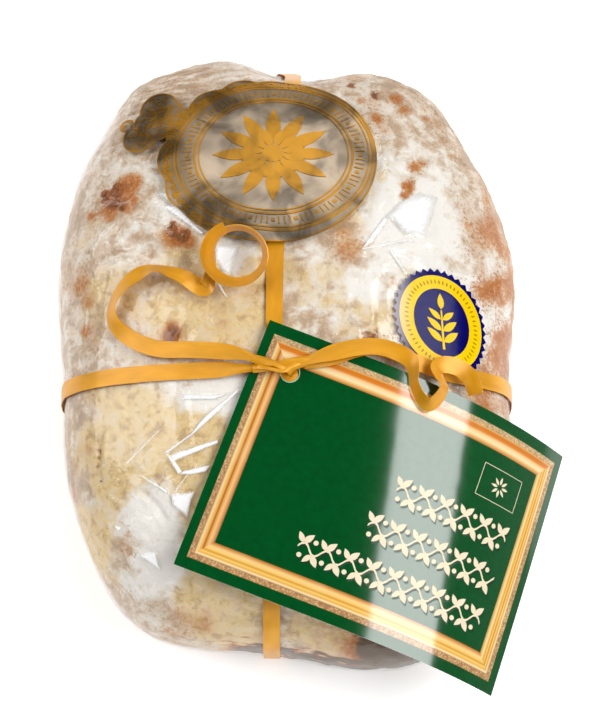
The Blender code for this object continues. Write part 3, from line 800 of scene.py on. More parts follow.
def even_steps(outline, step):
    """Points at even steps round a closed outline."""
    corners = [Vector(corner) for corner in outline]
    sides = [corners[(i + 1) % len(corners)] - corners[i] for i in range(len(corners))]
    length = sum(side.length for side in sides)
    count = round(length / step)
    places = []
    side = 0
    behind = 0.0
    for index in range(count):
        left = length * index / count
        while left - behind > sides[side].length:
            behind += sides[side].length
            side += 1
        places.append(corners[side] + sides[side].normalized() * (left - behind))
    return places


def lift_off(outline, lift):
    """The closed outline moved outwards, corner by corner."""
    lifted = []
    for index, place in enumerate(outline):
        come = (place - outline[index - 1]).normalized()
        go = (outline[(index + 1) % len(outline)] - place).normalized()
        along = (come + go).normalized()
        lifted.append(place + Vector((along.y, -along.x)) * lift / along.dot(go))
    return lifted


def band_section(surfaces, origin, ahead, width_way, sway):
    """The outline of what a ribbon wraps, in the plane of the ribbon."""
    rays = 720
    found = []
    for index in range(rays):
        angle = math.tau * index / rays
        towards = ahead * math.cos(angle) + Vector((0, 0, math.sin(angle)))
        for side in (-0.5, 0.0, 0.5):
            start = origin + towards * 0.3 + width_way * side * RIBBON_WIDTH
            start += width_way * sway(start.dot(ahead), start.z)
            hits = [surface.ray_cast(start, -towards) for surface in surfaces]
            hit = min((hit for hit in hits if hit[0]), key=lambda hit: hit[3])[0]
            found.append((hit.dot(ahead), hit.z))
    return even_steps(taut(found), 0.0024)


def surface_of(piece):
    """The finished surface of an object, for laying other pieces on it."""
    bpy.context.view_layer.update()
    return BVHTree.FromObject(piece, bpy.context.evaluated_depsgraph_get())


def crosswise_sway(along, height):
    """The crosswise ribbon swings to the far side where it leaves the knot to the right."""
    centre, depth, reach = CROSSWISE_SWAY
    swing = depth * math.exp(-(((along - centre) / reach) ** 2))
    return -swing * ease((height - TOP_FROM) / 0.01)


def lengthwise_sway(along, height):
    """The lengthwise ribbon drifts to the right under the seal."""
    start, most, length = LENGTHWISE_SWAY
    return most * ease((along - start) / length) * ease((height - 0.006) / 0.030)


def make_bands(settings):
    film = surface_of(bpy.data.objects["clear_film"])
    card = surface_of(bpy.data.objects["gift_card"])
    thickness = settings.thickness

    ahead = Vector((math.sin(LENGTHWISE_TURN), math.cos(LENGTHWISE_TURN), 0))
    width_way = Vector((ahead.y, -ahead.x, 0))
    origin = Vector((LENGTHWISE_X, 0, WAIST_HEIGHT))
    section = band_section([film], origin, ahead, width_way, lengthwise_sway)
    side_shift = width_way * origin.dot(width_way)
    rows = []
    for along, height in lift_off(section, thickness):
        middle = ahead * along + Vector((0, 0, max(height, thickness))) + side_shift
        middle += width_way * lengthwise_sway(along, height)
        rows.append((middle, width_way * RIBBON_WIDTH / 2, Vector((0, 0, 0))))
    ribbon_piece("lengthwise_ribbon", [*rows, rows[0]], ["ribbon_lengthwise"], thickness, closed=True)

    width_way = Vector((0, -1, 0))
    origin = Vector((0, CROSSWISE_Y, WAIST_HEIGHT))
    section = band_section([film, card], origin, Vector((1, 0, 0)), width_way, crosswise_sway)
    loop = lift_off(section, 2.5 * thickness)
    in_knot = [z > TOP_FROM and KNOT_LEFT_X < x < KNOT_RIGHT_X for x, z in loop]
    first = next(i for i in range(len(loop)) if in_knot[i - 1] and not in_knot[i])
    order = [*range(first, len(loop)), *range(first)]
    places = [loop[i] for i in order if not in_knot[i]]
    steps = [0.0] + [(b - a).length for a, b in zip(places, places[1:])]
    rows = []
    for index, (x, z) in enumerate(places):
        from_end = min(sum(steps[: index + 1]), sum(steps[index + 1 :]))
        share = PINCH + (1 - PINCH) * ease(from_end / PINCH_LENGTH)
        middle = Vector((x, CROSSWISE_Y - crosswise_sway(x, z), max(z, thickness)))
        rows.append((middle, width_way * RIBBON_WIDTH / 2 * share, Vector((0, 0, 0.0010 * (1 - share)))))
    ribbon_piece("crosswise_ribbon", rows, ["ribbon_crosswise"], thickness)


KNOT_STRANDS = (
    (
        (-0.0150, -0.0146, 0.0806, 0),
        (-0.0105, -0.0158, 0.0812, 12),
        (-0.0062, -0.0170, 0.0817, 34),
        (-0.0022, -0.0186, 0.0812, 20),
        (0.0002, -0.0196, 0.0797, 0),
        (0.0004, -0.0197, 0.0775, 0),
        (-0.0002, -0.0193, 0.0762, 0),
    ),
    (
        (-0.0150, -0.0182, 0.0790, 0),
        (-0.0108, -0.0180, 0.0800, -14),
        (-0.0060, -0.0176, 0.0806, -40),
        (-0.0015, -0.0165, 0.0811, -20),
        (0.0035, -0.0156, 0.0812, 0),
        (0.0080, -0.0152, 0.0808, 0),
    ),
    (
        (-0.0050, -0.0188, 0.0765, 0),
        (-0.0025, -0.0192, 0.0764, 4),
        (0.0005, -0.0196, 0.0762, 8),
        (0.0032, -0.0200, 0.0758, 8),
    ),
    (
        (-0.0128, -0.0172, 0.0802, 20),
        (-0.0085, -0.0186, 0.0812, 48),
        (-0.0040, -0.0192, 0.0813, 30),
        (0.0008, -0.0176, 0.0812, -10),
        (0.0050, -0.0160, 0.0806, 0),
    ),
)


def make_knot(settings):
    """The crumpled strands where the ribbons meet; one goes down through the card's hole."""
    bm = bmesh.new()
    weave = bm.loops.layers.uv.new("weave")
    for strand in KNOT_STRANDS:
        rows = tail_rows(strand, 6)
        width = RIBBON_WIDTH * (0.5 if len(strand) == 4 else 0.25)
        before = set(bm.verts)
        bmesh.ops.create_grid(bm, x_segments=4, y_segments=len(rows) - 1, size=0.5)
        made = [vertex for vertex in bm.verts if vertex not in before]
        spots = {v: (2 * v.co.x, round((v.co.y + 0.5) * (len(rows) - 1))) for v in made}
        for vertex, (side, row) in spots.items():
            for loop in vertex.link_loops:
                loop[weave].uv = (side * width, row * 0.001)
            middle, half, _ = rows[row]
            fold = half.cross(Vector((1, 0, 0))).normalized() * 0.0009
            vertex.co = middle + half.normalized() * width * side + fold * (1 - side * side)
    bmesh.ops.recalc_face_normals(bm, faces=bm.faces)
    add_piece(
        "ribbon_strands", bm, [shared_ribbon_finish()], ["ribbon_knot"], wall=settings.thickness
    )


# ---- Loaf, fruit and film ----


def loaf_place(cube):
    """Where a point of the cube from -1 to 1 goes on the wrapped loaf, before its swells."""
    across = (abs(cube.x) ** PLAN_POWER + abs(cube.y) ** PLAN_POWER) ** (1 / PLAN_POWER)
    scale = (across**CROWN_POWER + abs(cube.z) ** CROWN_POWER) ** (-1 / CROWN_POWER)
    half_height = LOAF_HEIGHT - WAIST_HEIGHT if cube.z > 0 else TUCK_DEPTH
    x = cube.x * scale * LOAF_HALF_WIDTH
    y = cube.y * scale * LOAF_HALF_LENGTH + PLAN_SHEAR * x
    return Vector((x + LOAF_MIDDLE_X, y, WAIST_HEIGHT + cube.z * scale * half_height))


def bumps(place, spots):
    """The sum of soft bumps, each given by its centre, height and reach."""
    total = 0.0
    for centre, height, reach in spots:
        total += height * math.exp(-((place - centre).length_squared) / (2 * reach * reach))
    return total


def swell(place):
    """How far the wrapped loaf stands out from its plain shape."""
    swells = bumps(place, SWELLS) + bumps(place, FILM_SWELLS)
    return KNEAD_HEIGHT * noise.noise(place / KNEAD_SPACING) + swells


def spot_share(place, spots):
    """How strongly the nearest spots colour a place, from 0 to about 1."""
    share = 0.0
    for centre, reach, strength in spots:
        apart = place - Vector(centre)
        apart.z *= 0.4
        apart = apart.length_squared / (reach * reach)
        if apart < 6:
            share = max(share, strength * math.exp(-0.7 * apart))
    return share


def loaf_shell(cuts, height_at, base):
    """A rounded loaf cut flat at the base; height_at gives how far out each place stands."""
    bm = bmesh.new()
    bmesh.ops.create_cube(bm, size=2.0)
    bmesh.ops.subdivide_edges(bm, edges=bm.edges, cuts=cuts, use_grid_fill=True)
    for vertex in bm.verts:
        vertex.co = loaf_place(vertex.co)
    lowest = [face for face in bm.faces if all(v.co.z < -0.004 for v in face.verts)]
    bmesh.ops.delete(bm, geom=lowest, context="FACES")
    bm.normal_update()
    moves = [(vertex, vertex.normal * height_at(vertex.co)) for vertex in bm.verts]
    for vertex, move in moves:
        vertex.co += move
    cut = bmesh.ops.bisect_plane(
        bm, geom=bm.verts[:] + bm.edges[:] + bm.faces[:], dist=1e-6,
        plane_co=(0, 0, base), plane_no=(0, 0, -1), clear_outer=True,
    )
    rim = [edge for edge in cut["geom_cut"] if isinstance(edge, bmesh.types.BMEdge)]
    bmesh.ops.contextual_create(bm, geom=rim)
    bmesh.ops.recalc_face_normals(bm, faces=bm.faces)
    return bm


def crack_share(place):
    """How near a place is to a crack in the crust, from 0 to 1."""
    share = 0.0
    for crack in CRACKS:
        for start, end in zip(crack, crack[1:]):
            start, end = Vector(start), Vector(end)
            along = min(max((place - start).dot(end - start) / (end - start).length_squared, 0), 1)
            apart = (place - start.lerp(end, along)).length
            share = max(share, math.exp(-((apart / 0.0014) ** 2)))
    return share


def streaks(place):
    """Fine folds side by side over the far left shoulder, from -1 to 1 and 0 away from them."""
    reach = bumps(place, ((Vector((-0.050, 0.106, 0.048)), 1.0, 0.017),))
    if reach < 0.08:
        return 0.0
    across = place.y - 0.22 * place.x + 0.002 * noise.noise(place / 0.010)
    return reach * math.cos(math.tau * across / 0.0034)


def loaf_fields(place, normal):
    """Fruit, toast, butter and thick sugar at a place, each from 0 to about 1. Toast also carries painted
    shade at the near rim and the near right end; fruit darkens the cracks, partly as painted shade; sugar
    also carries the film's painted glare.
    """
    wander = noise.noise_vector(place / 0.006) * 0.0016
    moved = place + wander
    # Cracks take the fruit's dark colour: bare crust, and painted shade in the crack.
    fruit = max(spot_share(moved, BIG_FRUIT), crack_share(place))
    toast_and_shade = max(spot_share(moved, TOAST_AND_SHADE_SPOTS), 0.72 * spot_share(moved, SMALL_FRUIT))
    steep = 1 - ease((normal.z - 0.25) / 0.55)
    drift = 0.80 + 0.5 * noise.noise(place / 0.013) + 0.35 * noise.noise(place / 0.0055)
    right = ease((place.x - 0.050) / 0.034) * ease((place.y + 0.070) / 0.05)
    left = ease((-place.x - 0.052) / 0.034)
    far = ease((place.y - 0.062) / 0.03)
    near = ease((-place.y - 0.090) / 0.02)
    foot = ease((0.018 - place.z) / 0.016)
    # Painted shade: the steep faces along the near rim darken, as a contact shadow.
    rim = ease((0.40 - normal.z) / 0.30) * ease((-place.y - 0.080) / 0.03)
    rim *= ease((place.x + 0.040) / 0.03)
    folds = streaks(place)
    toast_and_shade = max(
        toast_and_shade,
        right * (0.71 + 0.08 * steep) * drift,
        0.46 * left * drift,
        0.38 * far * drift,
        0.42 * steep * drift,
        0.44 * near * drift,
        1.25 * foot * (0.45 + 0.7 * drift),
        1.7 * rim * (0.30 + 0.8 * drift),
        0.30 + 0.24 * folds if folds else 0.0,
    )
    butter = spot_share(place + wander * 2, BUTTER_SPOTS)
    sugar = spot_share(place + wander, SUGAR_AND_GLARE_SPOTS)
    return fruit, toast_and_shade, butter, sugar


def loaf_finish(settings):
    """Powdered sugar over butter and crust, with specks and the fruit's dark patches; its attributes also
    bring painted shade and painted glare.
    """
    finish = Finish("sugared crust", roughness=0.85)
    sugar = tuple(settings.sugar_colour)
    dusk = tuple(settings.dusk_colour)
    butter = tuple(settings.butter_colour)
    amber = tuple(settings.amber_colour)
    crust = tuple(settings.crust_colour)
    fruit = tuple(settings.fruit_colour)

    broad = finish.cloud(0.015, 4.0, roughness=0.6, twist=0.4)
    patches = finish.cloud(0.0062, 7.0, roughness=0.70, twist=0.3)
    grains = finish.cloud(0.0017, 5.0, roughness=0.72)
    # The sugar attribute carries thick sugar and also the film's painted glare.
    thick = finish.attribute("sugar")
    # The toast attribute carries toast and also painted shade.
    toasted_and_shaded = finish.attribute("toast_and_shade")

    cover = finish.maths("MULTIPLY_ADD", patches, 0.60, finish.maths("MULTIPLY", broad, 0.40))
    cover = finish.maths("MULTIPLY_ADD", thick, 0.22, cover)
    cover = finish.maths("MULTIPLY_ADD", toasted_and_shaded, -0.13, cover)
    ground = finish.ramp(
        cover, (0.37, darker(dusk, 0.80)), (0.43, dusk), (0.50, sugar), (0.58, tuple(settings.snow_colour))
    )

    wet = finish.maths("MULTIPLY_ADD", broad, 1.3, finish.attribute("butter"))
    wet = finish.maths("MULTIPLY_ADD", thick, -0.5, wet)
    soaked = finish.ramp(
        patches, (0.38, paint(205, 172, 128)), (0.48, butter), (0.62, halfway(butter, sugar))
    )
    ground = finish.mix(finish.rise(wet, 0.78, 1.14), ground, soaked)

    warm = finish.maths("MULTIPLY_ADD", patches, 1.5, toasted_and_shaded)
    warm = finish.maths("MULTIPLY_ADD", broad, 0.7, warm)
    honeyed = finish.ramp(
        grains, (0.36, halfway(amber, crust)), (0.52, amber), (0.68, halfway(amber, sugar))
    )
    ground = finish.mix(finish.rise(warm, 1.42, 1.95), ground, honeyed)

    speck = finish.maths("MULTIPLY_ADD", toasted_and_shaded, 0.30, finish.cloud(0.0015, 5.0, roughness=0.8))
    speck_tone = finish.ramp(toasted_and_shaded, (0.30, paint(180, 146, 110)), (0.58, paint(192, 118, 62)))
    dry = finish.maths("SUBTRACT", 1.0, finish.rise(finish.attribute("butter"), 0.15, 0.45))
    speckled = finish.maths("MULTIPLY", finish.rise(speck, 0.650, 0.725), finish.maths("MULTIPLY", dry, 0.85))
    ground = finish.mix(speckled, ground, speck_tone)

    baked = finish.maths("MULTIPLY_ADD", grains, 0.8, toasted_and_shaded)
    baked = finish.maths("MULTIPLY_ADD", patches, 0.7, baked)
    bare = finish.ramp(grains, (0.36, darker(crust, 0.62)), (0.50, crust), (0.66, amber))
    ground = finish.mix(finish.rise(baked, 1.30, 1.62), ground, bare)

    dark = finish.maths("MULTIPLY_ADD", grains, 1.1, finish.attribute("fruit"))
    dark = finish.maths("MULTIPLY_ADD", patches, 0.7, dark)
    skin = finish.ramp(grains, (0.38, darker(fruit, 0.7)), (0.52, halfway(fruit, crust)), (0.66, crust))
    ground = finish.mix(finish.rise(dark, 1.26, 1.52), ground, skin)
    # Darkest grey-brown: the darkest crust, towards the base, and the painted shade at the near rim and the
    # near right end.
    ground = finish.mix(finish.rise(toasted_and_shaded, 0.84, 1.20), ground, paint(108, 84, 62))

    finish.shade(Base_Color=ground)
    relief = finish.bump(grains, 0.0006)
    finish.shade(Normal=finish.bump(patches, 0.0009, relief))
    return finish.material


def make_loaf(settings):
    film = bpy.context.scene.stollen_film

    def height_at(place):
        lumps = noise.noise(place / 0.0085) + 0.6 * noise.noise(place / 0.0038)
        grain = noise.noise(place / 0.0019)
        crumb = settings.lump_height * (lumps - 0.55) + settings.grain_height * grain
        crumb -= 0.0012 * crack_share(place)
        return swell(place) - bumps(place, SLACK) - film.gap + min(crumb, 0.0)

    noise.seed_set(5)
    bm = loaf_shell(settings.cuts, height_at, 0.0006)
    names = ("fruit", "toast_and_shade", "butter", "sugar")
    layers = [bm.verts.layers.float.new(name) for name in names]
    bm.normal_update()
    for vertex in bm.verts:
        for layer, value in zip(layers, loaf_fields(vertex.co, vertex.normal)):
            vertex[layer] = value
    add_piece("stollen_loaf", bm, [loaf_finish(settings)], ["wrapped_stollen"])


def add_grain(bm, film, place, grain, depth=0.60):
    """A wrinkled lump of this radius, sunk under the film."""
    place, normal, _, _ = film.find_nearest(place)
    before = set(bm.verts)
    bmesh.ops.create_icosphere(bm, subdivisions=3 if grain > 0.0008 else 2, radius=1.0)
    made = [vertex for vertex in bm.verts if vertex not in before]
    size = Matrix.Diagonal((grain * 1.2, grain * 0.9, grain * 0.7, 1.0))
    turn = normal.to_track_quat("Z", "Y").to_matrix().to_4x4()
    spin = Matrix.Rotation(random.uniform(0, math.pi), 4, "Z")
    sink = place - normal * (0.0007 + grain * depth)
    seed = Vector((random.random(), random.random(), random.random())) * 50
    for vertex in made:
        wrinkle = noise.noise(vertex.co * 1.9 + seed)
        vertex.co *= 1 + 0.34 * wrinkle - 0.16 * abs(noise.noise(vertex.co * 4.3 + seed))
    bmesh.ops.transform(bm, matrix=Matrix.Translation(sink) @ turn @ spin @ size, verts=made)


def make_fruit(settings):
    """Wrinkled raisins sunk into the crust, and crumbs round them."""
    finish = Finish("baked raisin", roughness=0.45)
    skin = finish.cloud(0.0018, 4.0, roughness=0.6, twist=0.6)
    fruit = tuple(settings.fruit_colour)
    crust = tuple(settings.crust_colour)
    tone = finish.ramp(skin, (0.36, darker(fruit, 0.5)), (0.50, fruit), (0.62, halfway(fruit, crust)))
    finish.shade(Base_Color=tone, Normal=finish.bump(skin, 0.0005))
    film = surface_of(bpy.data.objects["clear_film"])
    random.seed(7)
    bm = bmesh.new()
    for centre, reach, strength in FRUIT_SPOTS:
        small = reach < 0.0019 or strength < 0.75
        for _ in range(8 if small else 5):
            shift = Vector((random.gauss(0, 1), random.gauss(0, 1), 0)) * reach * (0.8 if small else 0.42)
            grain = random.uniform(0.00025, 0.00055) if small else reach * random.uniform(0.30, 0.52)
            add_grain(bm, film, Vector(centre) + shift, grain)
    # Dark crumbs along the cracks: crumbs, dark also as painted shade in the cracks.
    for crack in CRACKS:
        for start, end in zip(crack, crack[1:]):
            for _ in range(14):
                along = Vector(start).lerp(Vector(end), random.random())
                shift = Vector((random.gauss(0, 1), random.gauss(0, 1), 0)) * 0.0004
                add_grain(bm, film, along + shift, random.uniform(0.00022, 0.00042), 0.30)
    add_piece("raisins", bm, [finish.material])


def film_height(surface, x, y):
    """How high the film is over a place."""
    hit, _, _, _ = surface.ray_cast(Vector((x, y, 0.2)), Vector((0, 0, -1)))
    return hit.z


def add_shard(bm, surface, glint, corners):
    """A creased patch just over the film, with a little fold along its middle; its painted glint fades to
    nothing at its edge.
    """
    before = set(bm.verts)
    face = bm.faces.new([bm.verts.new((x, y, 0)) for x, y in corners])
    face.normal_update()
    soft = 0.85 * face.calc_area() / face.calc_perimeter()
    bmesh.ops.inset_individual(bm, faces=[face], thickness=soft, use_even_offset=True)
    made = [vertex for vertex in bm.verts if vertex not in before]
    layer = bm.verts.layers.float["glint"]
    for vertex in made:
        vertex[layer] = 0.0 if vertex.is_boundary else glint
    bmesh.ops.triangulate(bm, faces=list({item for vertex in made for item in vertex.link_faces}))
    for _ in range(2):
        edges = {edge for vertex in made for edge in vertex.link_edges if edge.calc_length() > 0.0025}
        if edges:
            bmesh.ops.subdivide_edges(bm, edges=list(edges), cuts=1)
        made = [vertex for vertex in bm.verts if vertex not in before]
    for vertex in made:
        x, y, _ = vertex.co
        fold = noise.noise(Vector((x * 300, y * 300, 0.5)))
        lift = 0.00012 if vertex.is_boundary else 0.00028 + 0.00020 * fold
        vertex.co.z = film_height(surface, x, y) + lift


def film_ripple(place):
    """Fine ripples of the tight film: sharp where it is drawn over crumbs."""
    ridge = 1 - abs(noise.noise(Vector((place.x * 120, place.y * 75, place.z * 90))))
    fine = noise.noise(place / 0.0042)
    return ridge**4 + 0.25 * fine


def film_finish(settings, name, painted_glints):
    """Clear film: it passes light, and mirrors the lamps more at a slant. With painted glints it is veiled
    with white that partly glows: a painted highlight.
    """
    finish = Finish(name)
    tree = finish.tree
    clear = finish.add("ShaderNodeBsdfTransparent", {"Color": (0.985, 0.985, 0.98)})
    mirror = finish.add("ShaderNodeBsdfGlossy", {"Roughness": 0.08})
    wave = finish.cloud(0.006, 3.0)
    finish.feed(mirror.inputs["Normal"], finish.bump(wave, 0.0004))
    # The film is so thin that it mirrors alike from both sides.
    inside = finish.add("ShaderNodeNewGeometry").outputs["Backfacing"]
    bend = finish.maths("MULTIPLY_ADD", inside, 1 / settings.bend - settings.bend, settings.bend)
    fresnel = finish.add("ShaderNodeFresnel", {"IOR": bend}).outputs["Fac"]
    share = finish.add("ShaderNodeMixShader", {0: finish.maths("MINIMUM", fresnel, settings.most_mirror)})
    tree.links.new(clear.outputs[0], share.inputs[1])
    tree.links.new(mirror.outputs[0], share.inputs[2])
    result = share.outputs[0]
    if painted_glints:
        # Painted highlight: white that partly glows, in streaks along a slant, as strong as the glint
        # attribute.
        matt = finish.add("ShaderNodeBsdfDiffuse", {"Color": (1.0, 1.0, 1.0)})
        glow = finish.add("ShaderNodeEmission", {"Color": (1.0, 1.0, 1.0), "Strength": 0.9})
        glint_white = finish.add("ShaderNodeMixShader", {0: 0.40})
        tree.links.new(matt.outputs[0], glint_white.inputs[1])
        tree.links.new(glow.outputs[0], glint_white.inputs[2])
        slant = finish.add(
            "ShaderNodeMapping", {"Vector": finish.place, "Rotation": (0.0, 0.0, math.radians(-38))}
        ).outputs["Vector"]
        glint_streaks = finish.cloud(1.0, 3.0, finish.stretch(slant, (110.0, 900.0, 110.0)))
        glint_patches = finish.maths("MULTIPLY_ADD", glint_streaks, 2.6, 0.05)
        soft = finish.maths("POWER", finish.attribute("glint"), 1.4)
        glint = finish.maths("MULTIPLY", soft, glint_patches)
        glint_mix = finish.add("ShaderNodeMixShader", {0: finish.maths("MINIMUM", glint, 0.97)})
        tree.links.new(result, glint_mix.inputs[1])
        tree.links.new(glint_white.outputs[0], glint_mix.inputs[2])
        result = glint_mix.outputs[0]
    tree.links.new(result, tree.nodes["Material Output"].inputs["Surface"])
    tree.nodes.remove(finish.shader)
    return finish.material


def make_film(settings):
    def height_at(place):
        return swell(place) + settings.ripple * (film_ripple(place) - 0.4 + 0.7 * streaks(place))

    bm = loaf_shell(settings.cuts, height_at, 0.0)
    clear = film_finish(settings, "clear film", False)
    film = add_piece("clear_film", bm, [clear], ["wrapped_stollen"])
    surface = surface_of(film)
    bm = bmesh.new()
    bm.verts.layers.float.new("glint")
    for glint, *corners in GLINT_SHARDS:
        add_shard(bm, surface, glint, corners)
    bmesh.ops.recalc_face_normals(bm, faces=bm.faces)
    painted_glints = film_finish(settings, "creased film glints", True)
    add_piece("film_crease_glints", bm, [painted_glints], wall=0.00006)


# ---- Card ----


def card_bend(along):
    """Shift, drop and slope of the card at a distance along its bend."""
    shift = drop = 0.0
    steps = 60
    for step in range(steps):
        middle = along * (step + 0.5) / steps
        slope = BEND_SLOPE * ease((middle - BEND_FROM) / (BEND_TO - BEND_FROM))
        shift += math.cos(slope) * along / steps
        drop += math.sin(slope) * along / steps
    return shift, drop, BEND_SLOPE * ease((along - BEND_FROM) / (BEND_TO - BEND_FROM))


def bend_card(bm):
    """Bends the flat card, which lies from its corner along +X and -Y, and puts it in its place."""
    across = Vector((math.cos(BEND_SLANT), math.sin(BEND_SLANT), 0))
    along = Vector((math.sin(BEND_SLANT), -math.cos(BEND_SLANT), 0))
    yaw, pitch, roll = CARD_TURNS
    turn = Matrix.Rotation(yaw, 3, "Z") @ Matrix.Rotation(pitch, 3, "X") @ Matrix.Rotation(roll, 3, "Y")
    for vertex in bm.verts:
        shift, drop, slope = card_bend(vertex.co.dot(across))
        level = Vector((0, 0, 1)) * (vertex.co.z * math.cos(slope) - drop)
        bent = across * (shift + vertex.co.z * math.sin(slope)) + along * vertex.co.dot(along) + level
        vertex.co = turn @ bent + CARD_CORNER


BEAD_BAND = 0.24  # share of the frame's width that its beaded outer edge takes


def moulding(*stops):
    """Tones across one side of the frame: how far in from the edge, then red, green and blue."""
    return [(share, paint(*tone)) for share, *tone in stops]


FRAME_LEFT = moulding(
    (0.00, 190, 146, 96), (0.25, 172, 126, 84), (0.33, 240, 208, 150), (0.43, 232, 190, 118),
    (0.52, 222, 156, 70), (0.58, 166, 98, 40), (0.66, 222, 156, 80), (0.77, 238, 192, 126),
    (0.89, 216, 152, 92), (1.00, 160, 102, 60),
)
FRAME_RIGHT = moulding(
    (0.00, 176, 150, 90), (0.24, 190, 146, 92), (0.31, 250, 222, 166), (0.39, 206, 148, 62),
    (0.47, 246, 200, 108), (0.55, 196, 132, 44), (0.63, 246, 196, 92), (0.71, 212, 152, 62),
    (0.82, 248, 216, 150), (0.92, 222, 178, 106), (1.00, 184, 146, 84),
)
FRAME_TOP = moulding(
    (0.00, 200, 196, 140), (0.14, 242, 222, 172), (0.26, 216, 168, 96), (0.34, 208, 118, 34),
    (0.48, 216, 126, 40), (0.60, 240, 202, 144), (0.76, 240, 220, 168), (0.88, 228, 172, 96),
    (1.00, 180, 110, 60),
)
FRAME_BOTTOM = moulding(
    (0.00, 196, 124, 62), (0.10, 206, 152, 94), (0.24, 166, 120, 80), (0.32, 248, 222, 168),
    (0.41, 226, 168, 76), (0.49, 246, 204, 106), (0.58, 214, 150, 56), (0.67, 244, 200, 108),
    (0.80, 240, 206, 138), (0.90, 220, 154, 80), (1.00, 170, 104, 50),
)


def card_finish(settings):
    """Glossy green board with a printed picture frame."""
    finish = Finish("card print", roughness=0.11, IOR=1.72)
    where = finish.add("ShaderNodeUVMap", uv_map="print").outputs[0]
    across = finish.add("ShaderNodeSeparateXYZ", {0: where})
    x, y = across.outputs[0], across.outputs[1]

    def inset(value, border, width):
        """How far into the frame a distance from the edge is, as a share of its width."""
        return finish.maths("DIVIDE", finish.maths("SUBTRACT", value, border), width)

    left = inset(x, settings.side_border, settings.side_frame)
    right = inset(finish.maths("SUBTRACT", CARD_LENGTH, x), settings.side_border, settings.side_frame)
    top = inset(y, settings.end_border, settings.end_frame)
    bottom = inset(finish.maths("SUBTRACT", CARD_WIDTH, y), settings.end_border, settings.end_frame)
    upright = finish.maths("MINIMUM", left, right)
    level = finish.maths("MINIMUM", top, bottom)
    depth = finish.maths("MINIMUM", upright, level)

    tones = [finish.ramp(depth, *side) for side in (FRAME_LEFT, FRAME_RIGHT, FRAME_TOP, FRAME_BOTTOM)]
    sides = finish.mix(finish.maths("LESS_THAN", right, left), tones[0], tones[1])
    ends = finish.mix(finish.maths("LESS_THAN", bottom, top), tones[2], tones[3])
    gold = finish.mix(finish.maths("LESS_THAN", level, upright), sides, ends)
    beads = finish.add("ShaderNodeTexVoronoi", {"Vector": where, "Scale": 1150.0})
    bead = finish.ramp(
        beads.outputs["Distance"], (0.10, paint(236, 202, 150)), (0.40, paint(192, 150, 104)),
        (0.75, paint(150, 114, 82)),
    )
    beaded = finish.maths("MULTIPLY", finish.maths("LESS_THAN", depth, BEAD_BAND), 0.75)
    gold = finish.mix(beaded, gold, bead)
    streaks = finish.cloud(0.020, 2.0)
    gold = finish.mix(finish.rise(streaks, 0.55, 1.2), gold, paint(250, 226, 170))

    fleck = finish.cloud(0.0030, 3.0)
    green = tuple(settings.colour)
    ground = finish.ramp(fleck, (0.3, darker(green, 0.90)), (0.7, darker(green, 1.08)))
    inside = finish.maths("MULTIPLY", finish.rise(depth, -0.015, 0.015), finish.rise(depth, 1.015, 0.985))
    finish.shade(Base_Color=finish.mix(inside, ground, gold))
    finish.shade(Normal=finish.bump(finish.cloud(0.03, 2.0), 0.0002))
    return finish.material


def paper_finish(name, colour, roughness=0.6):
    """Plain board or ink with a faint fibre."""
    finish = Finish(name, roughness=roughness)
    fibre = finish.cloud(0.0012, 4.0)
    finish.shade(Base_Color=finish.ramp(fibre, (0.3, darker(colour, 0.93)), (0.7, colour)))
    finish.shade(Normal=finish.bump(fibre, 0.00003))
    return finish.material


def applied(piece):
    """A bmesh of the object with its modifiers applied, which then leaves the scene."""
    bpy.context.view_layer.update()
    graph = bpy.context.evaluated_depsgraph_get()
    bm = bmesh.new()
    bm.from_mesh(piece.evaluated_get(graph).to_mesh())
    bpy.data.objects.remove(piece, do_unlink=True)
    return bm


def loose_object(name, bm):
    mesh = bpy.data.meshes.new(name)
    bm.to_mesh(mesh)
    bm.free()
    item = bpy.data.objects.new(name, mesh)
    bpy.context.scene.collection.objects.link(item)
    return item


def make_card(settings):
    bm = bmesh.new()
    size = Matrix.Diagonal((CARD_LENGTH, CARD_WIDTH, 1, 1))
    middle = Matrix.Translation((CARD_LENGTH / 2, -CARD_WIDTH / 2, 0))
    bmesh.ops.create_grid(bm, x_segments=76, y_segments=40, size=0.5, matrix=middle @ size)
    print_map = bm.loops.layers.uv.new("print")
    for face in bm.faces:
        for loop in face.loops:
            loop[print_map].uv = (loop.vert.co.x, -loop.vert.co.y)
    flat = loose_object("flat_card", bm)
    finishes = [card_finish(settings), paper_finish("card core", tuple(settings.core_colour))]
    for finish in finishes:
        flat.data.materials.append(finish)
    thicken(flat, CARD_THICKNESS).material_offset_rim = 1
    bm = bmesh.new()
    bmesh.ops.create_cone(
        bm, cap_ends=True, segments=64, radius1=HOLE_RADIUS, radius2=HOLE_RADIUS, depth=0.01,
        matrix=Matrix.Translation((HOLE_PLACE[0], -HOLE_PLACE[1], 0)),
    )
    for face in bm.faces:
        face.material_index = 1
    punch = loose_object("hole_punch", bm)
    for finish in finishes:
        punch.data.materials.append(finish)
    hole = flat.modifiers.new("hole", "BOOLEAN")
    hole.operation = "DIFFERENCE"
    hole.solver = "EXACT"
    hole.object = punch
    bm = applied(flat)
    bpy.data.objects.remove(punch, do_unlink=True)
    bend_card(bm)
    add_piece("gift_card", bm, finishes, ["tag_card"])
    make_vines(settings)


def add_plaque(bm, outline, bottom, top):
    """A flat shape of this outline, between two heights."""
    face = bm.faces.new([bm.verts.new((x, y, bottom)) for x, y in outline])
    grown = bmesh.ops.extrude_face_region(bm, geom=[face])["geom"]
    raised = [item for item in grown if isinstance(item, bmesh.types.BMVert)]
    bmesh.ops.translate(bm, vec=(0, 0, top - bottom), verts=raised)
    return raised


